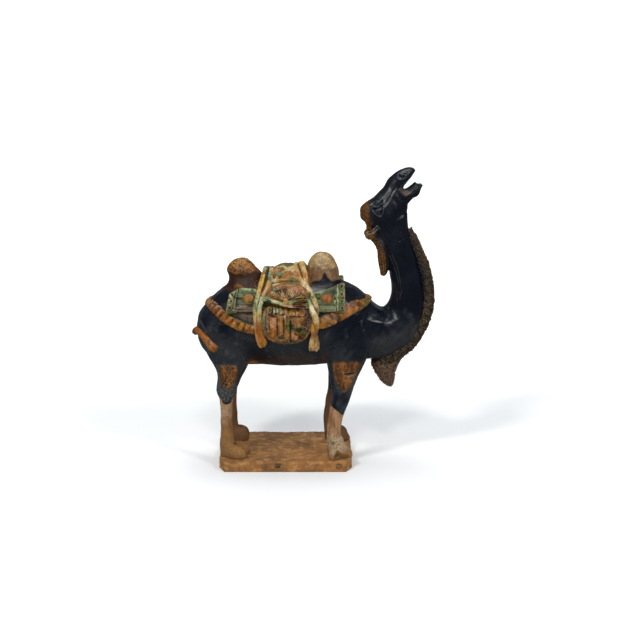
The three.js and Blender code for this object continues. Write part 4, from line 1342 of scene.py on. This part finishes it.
def load():
    form = loadForm
    parts = [pebble(**form["bolster"], sides=64)]
    for side in (-1, 1):
        parts.append(pebble(**form["bag"], side=side, sides=64))
        parts.append(pebble(**form["bagMouth"], turn=(form["mouthTurn"], 0, 0), side=side, sides=48))
        parts.append(pebble(**form["knot"], side=side))
    mesh = fused(parts, form["voxel"], 5)
    carve(mesh, loadStrokes(), lambda points: 0.45 * ripple(points, 9, 51) + 0.3 * ripple(points, 4.5, 52))
    painted(mesh, "tan", [
        ("olive", (6, 0, 349), (34, 30, 4)), ("cream", (1, 25, 343), (20, 26, 5)),
        ("cream", (20, 34, 340), (8, 14, 5)), ("pink", (-14, 30, 340), (9, 14, 5)),
        ("olive", (6, 20, 347), (10, 12, 3)), ("olive", (-6, 28, 341), (7, 12, 2.5)),
        ("greyGreen", (-9.5, 42, 335), (11, 12, 5)), ("green", (-8, 44, 333.5), (9, 12, 3)),
        ("pink", (18, 38, 337), (6, 12, 5)), ("orange", (9, 46, 331), (13, 12, 4.5)),
        ("paleCream", (-16, 49, 322), (8, 12, 9)), ("orange", (-6.5, 52, 326), (8, 12, 5)),
        ("yellow", (-9, 52, 325), (4, 9, 3.5)), ("orange", (26, 48, 328), (8, 14, 7)),
        ("green", (14, 54, 325), (11, 12, 6)), ("pink", (-6, 54, 319), (7, 12, 3)),
        ("darkGreen", (2, 54, 322), (2.5, 9, 3)),
        ("pink", (20, 86, 313), (18, 16, 7)), ("greyBrown", (-12, 86, 312), (13, 16, 7)),
        ("green", (-13, 86, 315), (8, 12, 2.5)), ("paleGreen", (-8, 86, 315), (3, 9, 1.5)),
        ("redBrown", (2.5, 88, 313), (5, 12, 5)), ("tan", (-13, 88, 304), (9, 12, 5)),
        ("cream", (1, 91, 303), (7, 9, 6)), ("tan", (9, 91, 305), (3, 9, 7)),
        ("cream", (-18, 88, 308), (5, 9, 3)), ("cream", (14, 89, 308), (5, 9, 4)),
        ("darkGreen", (24, 88, 301), (9, 14, 4.5)), ("deepBrown", (26, 88, 297), (20, 14, 3.2)),
        ("orange", (4.5, 96, 296), (3.5, 9, 5)),
        ("olive", (-23.8, 88, 278.7), (5, 12, 5)), ("darkGreen", (-14, 92, 277.5), (10, 12, 7)),
        # the pale green and cream dabs on the loops are pale glaze and painted highlights
        ("paleGreen", (-16, 92, 279), (3, 9, 4)), ("paleCream", (-10, 93, 279), (2.5, 9, 3.5)),
        ("paleGreen", (-4, 93, 277), (3, 9, 4)), ("pink", (5, 96, 277.5), (4.5, 9, 5)),
        ("orange", (15, 95, 276), (7.5, 9, 6)), ("cream", (22.5, 94, 275), (2.4, 9, 4.5)),
        ("amber", (31, 92, 275), (8, 12, 7)), ("redBrown", (-20, 92, 271), (8.5, 12, 3.6)),
        ("redBrown", (14, 95, 268), (12, 12, 2.6)),
        ("pink", (-17.6, 97, 256), (7.2, 14, 12)), ("amber", (-18, 98, 243), (6, 10, 7)),
        ("tan", (-5.2, 98, 253), (5.6, 14, 20)), ("orange", (-5.5, 99, 258), (3, 9, 7)),
        ("paleCream", (1.5, 98, 268), (2.2, 9, 4)),
        ("rust", (3.1, 98, 263), (3, 9, 8)), ("olive", (9.5, 96, 252), (7, 12, 14)),
        ("darkGreen", (15, 96, 251), (6.5, 12, 7)), ("tan", (24.5, 97, 260), (9.5, 12, 9)),
        ("pink", (20, 95, 236), (8, 12, 8)), ("rust", (21, 95, 238), (4, 9, 4)),
        ("olive", (33, 92, 239), (9, 14, 10)), ("brown", (36, 92, 256), (3.5, 12, 13)),
        ("darkGreen", (30, 92, 247), (6, 12, 5)), ("deepBrown", (14, 95, 222), (14, 12, 5)),
        ("darkGreen", (22, 95, 246), (8, 12, 4)), ("brown", (31, 92, 231), (9, 12, 7)),
        ("darkGreen", (-4.8, 96, 232.5), (6.5, 12, 4.6)), ("tan", (6, 93, 229), (6.5, 12, 5)),
        ("greyBrown", (-32.5, 86, 254), (5.5, 20, 30)), ("greyGreen", (-34, 84, 262), (3, 18, 14)),
        ("greyBrown", (43, 86, 258), (5.5, 22, 32)), ("redBrown", (40, 88, 262), (2.4, 12, 22)),
        ("greyBrown", (4, 84, 217), (44, 22, 7)),
    ], 1.6, 53, crest=0.75)
    camelPiece("load", mesh, packMaterial)


load()

ropeForm = {
    "rear": [
        (-30, 0, 337), (-31, 30, 330), (-35, 53, 314), (-41, 68, 298), (-46, 78, 277), (-44, 81, 243),
        (-37, 76, 211),
    ],
    "front": [
        (25, 0, 344), (28, 26, 338.5), (35, 50, 320), (44, 66, 303), (51, 76, 285), (54.5, 81, 266),
        (53, 80, 240), (52, 72, 203),
    ],
    # down each flank, by the share of the way: the lay in half-turns
    "rearLay": [(0, 0), (0.7, 0), (1, 0.12)],
    "frontLay": [(0, 0), (0.06, -0.12), (0.25, -0.05), (0.3, 0.15), (0.37, 0.5), (0.45, 0.8), (0.53, 0.97),
                 (0.585, 1.08), (0.64, 1.38), (0.7, 1.72), (0.77, 1.97), (0.82, 2), (1, 2)],
    # and how far each strand is from the middle, and its radius
    "rearStrands": [
        (0, 4.6, 6.4), (0.36, 5.3, 6.3), (0.48, 3.7, 5.6), (0.6, 3, 5.3), (0.7, 2.4, 5.3), (0.8, 2.3, 6.4),
        (0.93, 2.2, 7.4), (0.985, 1.8, 6.2), (1, 1.4, 3),
    ],
    "frontStrands": [
        (0, 4.7, 7.3), (0.2, 4.4, 7.0), (0.29, 2.8, 5.6), (0.37, 3.6, 6), (0.62, 4, 5.8), (0.72, 3.2, 5.4),
        (0.8, 1.6, 5.2), (0.835, 1, 5), (0.9, 2.2, 6.6), (0.965, 2.8, 7.6), (0.985, 2.8, 6.8),
        (1, 2.6, 4.4),
    ],
    # each strand is a little flat, with shallow grooves that turn once in 90 steps
    "flat": 0.95, "grooves": 5, "twist": 90, "depth": 0.8,
    # colours of each strand from the top of the load to its end
    "rearColours": [
        "greyGreen cream olive yellow yellow yellow paleGreen green cream tan amber amber orange",
        "greyGreen cream paleGreen greyGreen yellow pink paleCream paleGreen cream tan amber amber orange",
    ],
    "frontColours": [
        "cream cream yellow orange cream paleCream green cream cream gold yellow tan cream tan",
        "cream yellow cream orange cream cream green paleGreen paleCream cream gold tan tan cream",
    ],
}
tieForm = {
    "radius": 1.45, "apart": 3.7, "bowRadius": [(0, 1.5), (0.8, 1.3), (1, 0.8)],
    "line": [
        (-36, 73, 299), (-25, 85, 296.5), (-9, 94, 293), (5, 98.5, 290), (20, 96.5, 288.5), (32, 91, 287),
        (43, 79, 286),
    ],
    "bows": [
        [(7, 97, 294), (17, 95, 299.5), (29, 90, 302.5), (40, 81, 301)],
        [(7, 97, 292), (19, 95.5, 296), (31, 90, 298.5), (41, 81, 297)],
    ],
}


def strandColours(mesh, path, names, seed):
    # bands of glaze along a strand, blurred and streaked along it
    points = readPoints(mesh)
    shades = np.array([linear(glazes[name]) for name in names.split()])
    half = len(path) // 2
    share = np.abs(nearestOn(path, points, 4) - half) / half
    share += 0.035 * ripple(points * [2, 2, 0.5], 12, seed)
    place = np.clip(share, 0, 1) * (len(shades) - 1)
    index = np.minimum(place.astype(int), len(shades) - 2)
    mix = ease(0.2, 0.8, place - index)[:, None]
    store(mesh, "glaze", shades[index] * (1 - mix) + shades[index + 1] * mix)


def rope(name, line, lay, strandTable, colours, seed):
    # two strands over the load and down both flanks, side by side or laid round each other
    path, _ = evenCurve([(x, -y, z) for x, y, z in line[:0:-1]] + line, 341)
    ahead = unit(np.gradient(path, axis=0))
    aside = unit(np.cross(np.cross([1, 0, 0], ahead), ahead))
    across = np.cross(ahead, aside)
    way = np.abs(np.linspace(-1, 1, len(path)))
    ways, offsets, sizes = np.array(strandTable, float).T
    offset = np.interp(way, ways, offsets)[:, None]
    # a radius for each share of the whole rope, of which the middle is its top
    shares = np.concatenate([0.5 - ways[::-1] / 2, 0.5 + ways / 2])
    radius = list(zip(shares, np.concatenate([sizes[::-1], sizes])))
    strands = []
    for k, names in enumerate(colours):
        turn = np.pi * (np.interp(way, *np.array(lay, float).T) + k)[:, None]
        wound = path + offset * (aside * np.cos(turn) + across * np.sin(turn))
        mesh = strand(wound, radius, 22, *(ropeForm[key] for key in ("flat", "grooves", "twist", "depth")))
        strandColours(mesh, wound, names, seed + k)
        strands.append(mesh)
    mesh = together(strands)
    points = raisedBy(mesh, lambda points: 0.4 * ripple(points, 8, seed) + 0.25 * ripple(points, 4, seed))
    # the glaze pools between the strands, which are painted darker there: pooled glaze and painted shade
    index = nearestOn(path, points, 3)
    reach = np.interp(way, ways, offsets + sizes)[index]
    store(mesh, "hollow", (np.linalg.norm(points - path[index], axis=1) - 0.66 * reach) * 0.28)
    camelPiece(name, mesh, packMaterial)


def ropes():
    form = ropeForm
    for end, seed in (("rear", 61), ("front", 65)):
        rope(end + "Rope", form[end], form[end + "Lay"], form[end + "Strands"], form[end + "Colours"], seed)


def ties():
    # three cords side by side round each bag's mouth, with the two thin ends of the bow beside the knot
    form = tieForm
    path, _ = evenCurve(form["line"], 121)
    _, _, across = outwardFrame(path)
    share = np.linspace(0, 1, len(path))
    meshes = []
    for side in (-1, 1):
        cords = []
        for k in (-1, 0, 1):
            apart = k * form["apart"] * (0.75 + 0.25 * np.cos(2 * np.pi * share))
            sway = apart + 0.5 * np.sin(9 * share + 2 * k)
            size = form["radius"] * (1.1 - 0.15 * k)
            cords.append(strand(path + across * sway[:, None], [(0, size), (1, size)], 12))
        for bow in form["bows"]:
            cords.append(strand(evenCurve(bow, 51)[0], form["bowRadius"], 10))
        for mesh in cords:
            setPoints(mesh, readPoints(mesh) * [1, side, 1])
        meshes += cords
    mesh = closedUp(together(meshes))
    painted(mesh, "paleGreen", [
        ("paleCream", (-14, 90, 296), (10, 14, 2.4)), ("green", (-16, 90, 291), (14, 14, 2)),
        ("darkGreen", (-26, 84, 293), (9, 14, 3)), ("pink", (7, 98, 290), (6, 12, 4.5)),
        ("darkAmber", (26, 92, 290), (17, 14, 4)), ("redBrown", (26, 92, 285), (18, 14, 2.6)),
        ("rust", (20, 92, 288), (9, 14, 1.6)), ("olive", (26, 90, 301), (22, 14, 6)),
        ("yellow", (30, 88, 302), (7, 12, 1.5)), ("greyGreen", (43, 80, 287), (4, 12, 6)),
    ], 1.0, 72, 2, 0.4)
    camelPiece("bagTies", mesh, packMaterial)


ropes()
ties()
print("load, ropes and ties modelled")

# The plinth: a slab with cut corners, worn edges and two plugged sample holes in its long edge
plinthForm = {
    "cornerX": 0.012, "cornerY": 0.024, "bevel": 0.0022, "voxel": 0.0019, "wear": 0.0007,
    "holeRadius": 0.005, "holeSpacing": 0.11, "holeMiddle": 0.042, "holeLift": 0.0025, "holeDepth": 0.0016,
    "plugDepth": 0.004, "plugSink": 0.0004, "plugFit": 0.93, "domeRise": 0.0003, "ringRise": 0.0005,
    # name, side of the middle, tone, and whether a ring stands up on it
    "plugs": [("darkPlug", -1, "#26241c", False), ("paleRingPlug", 1, "#7a5838", True)],
}


def plinthWear(points, floor, front):
    # how many millimetres the surface stands out: worn all over, scratched and cracked on the front edge
    grid = points * 1000
    x, y, z = grid.T
    worn = 0.45 * ripple(grid, 40, 81) + 0.25 * ripple(grid, 12, 82) + 0.2 * ripple(grid, 5, 83)
    crack = ridge(z, 21 + 0.02 * (x + 100), 1.0) * ease(-84, -92, x)
    scratch = ridge(z, 9 + 1.5 * np.sin(x / 31), 0.8) * ease(0, 0.6, ripple(grid * [0.3, 1, 1], 18, 84))
    worn -= (np.abs(y - front * 1000) < 3) * (1.8 * crack + 0.7 * scratch)
    return (worn - plinthForm["wear"] * 1000) * ease(0.4, 2, z - floor * 1000)


def plug(name, tone, ringed, holeX, holeZ, front):
    form = plinthForm

    def shape(along, around):
        share, isRing = endsClosed(along, 12)
        turn = 2 * np.pi * around
        # the side wall up to a share of 0.4, then the face from its rim to its middle
        radius = form["holeRadius"] * form["plugFit"] * isRing * np.interp(share, [0, 0.4, 1], [1, 1, 0.05])
        rise = form["domeRise"] * ease(0.4, 0.5, share)
        if ringed:
            rise = rise + form["ringRise"] * ridge(share, 0.72, 0.07) - form["domeRise"] * (share > 0.85)
        depth = np.interp(share, [0, 0.4], [form["plugDepth"], form["plugSink"]]) - rise
        depth = np.where((along < 0.5) & ~isRing, form["plugDepth"], depth)
        return np.stack([holeX + radius * np.cos(turn), front + depth, holeZ + radius * np.sin(turn)], 1)

    piece(name, wrapped(14, 32, shape), plugPaste(name + " paste", tone), "plinth")


def plinth():
    form = plinthForm
    (x0, y0, z0), (x1, y1, z1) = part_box("plinth")
    cutX, cutY = form["cornerX"], form["cornerY"]
    corners = [
        (x0 + cutX, y0), (x1 - cutX, y0), (x1, y0 + cutY), (x1, y1 - cutY),
        (x1 - cutX, y1), (x0 + cutX, y1), (x0, y1 - cutY), (x0, y0 + cutY),
    ]
    slab = bmesh.new()
    outline = slab.faces.new([slab.verts.new((x, y, z0)) for x, y in corners])
    raised = bmesh.ops.extrude_face_region(slab, geom=[outline])["geom"]
    upper = [part for part in raised if isinstance(part, bmesh.types.BMVert)]
    bmesh.ops.translate(slab, vec=(0, 0, z1 - z0), verts=upper)
    bmesh.ops.recalc_face_normals(slab, faces=slab.faces)
    edges = [edge for edge in slab.edges if max(vert.co.z for vert in edge.verts) > z0 + 1e-6]
    bmesh.ops.bevel(slab, geom=edges, offset=form["bevel"], offset_type="OFFSET", segments=3, profile=0.5,
                    affect="EDGES", material=-1)
    mesh = fused([toMesh(slab)], form["voxel"], 2)
    points = raisedBy(mesh, lambda points: 0.001 * plinthWear(points, z0, y0))
    moved = readPoints(mesh)
    for name, end, tone, ringed in form["plugs"]:
        holeX = form["holeMiddle"] + end * form["holeSpacing"] / 2
        holeZ = (z0 + z1) / 2 + form["holeLift"] * (end < 0)
        plug(name, tone, ringed, holeX, holeZ, y0)
        away = np.hypot(points[:, 0] - holeX, points[:, 2] - holeZ)
        inHole = (away < form["holeRadius"] * 1.05) & (points[:, 1] < y0 + 0.004)
        moved[inHole, 1] += form["holeDepth"]
    setPoints(mesh, np.clip(moved, [x0, y0, z0], [x1, y1, z1]))
    piece("plinthSlab", mesh, plinthMaterial, "plinth")


plinth()
print("plinth modelled")

# A pale floor, five lamps and the camera, in metres
studioForm = {
    # name, place, size in metres and power in watts of each lamp
    "lamps": [
        ("key", (-1.0, -1.3, 2.2), 0.34, 24), ("fill", (1.5, -1.3, 1.9), 0.35, 13),
        ("front", (0.1, -2.1, 2.3), 0.4, 18), ("top", (0.1, 0.4, 2.2), 0.9, 12),
        ("backdropLight", (0, 1.0, 1.9), 1.8, 36),
    ],
    "lit": (0.06, 0, 0.27), "litBackdrop": (0.06, 3.5, 0.9), "floorSize": 4, "bendStart": 1.2, "bend": 0.75,
}
cameraForm = {
    "target": (0.063, 0, 0.263), "distance": 1.65, "degreesUp": 12, "sensorWidth": 36,
    # the lens in pixels of the photo, and the photo's width
    "focalPixels": 898.7, "photoPixels": 640,
}


def studio():
    # a pale floor that curves up behind, soft light from above and both sides
    form = bmesh.new()
    bmesh.ops.create_grid(form, x_segments=2, y_segments=40, size=studioForm["floorSize"])
    for vert in form.verts:
        vert.co.z = studioForm["bend"] * max(vert.co.y - studioForm["bendStart"], 0) ** 1.6
    for face in form.faces:
        face.smooth = True
    mesh = toMesh(form, "floor")
    material, tree, shader = newMaterial("pale matt floor")
    # the room around a dark glaze is dim, so the floor is mirrored in it only faintly
    colour = layered(tree, "#f5f5f3", ("#5a5c5f", node(tree, "LightPath")["Is Glossy Ray"]))
    tree.links.new(colour, shader.inputs["Base Color"])
    shader.inputs["Roughness"].default_value = 0.95
    shader.inputs["Specular IOR Level"].default_value = 0.1
    mesh.materials.append(material)
    added("floor", mesh)
    world = bpy.data.worlds.new("studio")
    bpy.context.scene.world = world
    world.use_nodes = True
    sky = world.node_tree
    background = sky.nodes["Background"]
    # soft light all round for the dull surfaces, but a dim room for the glaze to mirror
    seen = node(sky, "LightPath")
    strength = node(sky, "MapRange", (seen["Is Camera Ray"], 0, 1, 0.11, 1.0), **smooth)[0]
    strength = node(sky, "Math", (seen["Is Diffuse Ray"], 0.4, strength), operation="MULTIPLY_ADD")[0]
    sky.links.new(strength, background.inputs["Strength"])
    background.inputs["Color"].default_value = linear("#e9f0fa")
    for name, place, size, power in studioForm["lamps"]:
        data = bpy.data.lights.new(name, "AREA")
        data.size = size
        data.energy = power
        added(name, data, place, studioForm["litBackdrop" if name == "backdropLight" else "lit"])
    bpy.context.scene.view_settings.view_transform = "Standard"


def camera():
    # square to the flank and a little above it
    form = cameraForm
    lift = math.radians(form["degreesUp"])
    data = bpy.data.cameras.new("camera")
    data.sensor_width = form["sensorWidth"]
    data.lens = form["sensorWidth"] * form["focalPixels"] / form["photoPixels"]
    place = Vector(form["target"]) + form["distance"] * Vector((0, -math.cos(lift), math.sin(lift)))
    bpy.context.scene.camera = added("camera", data, place, form["target"])


studio()
camera()
print("floor, light and camera set")
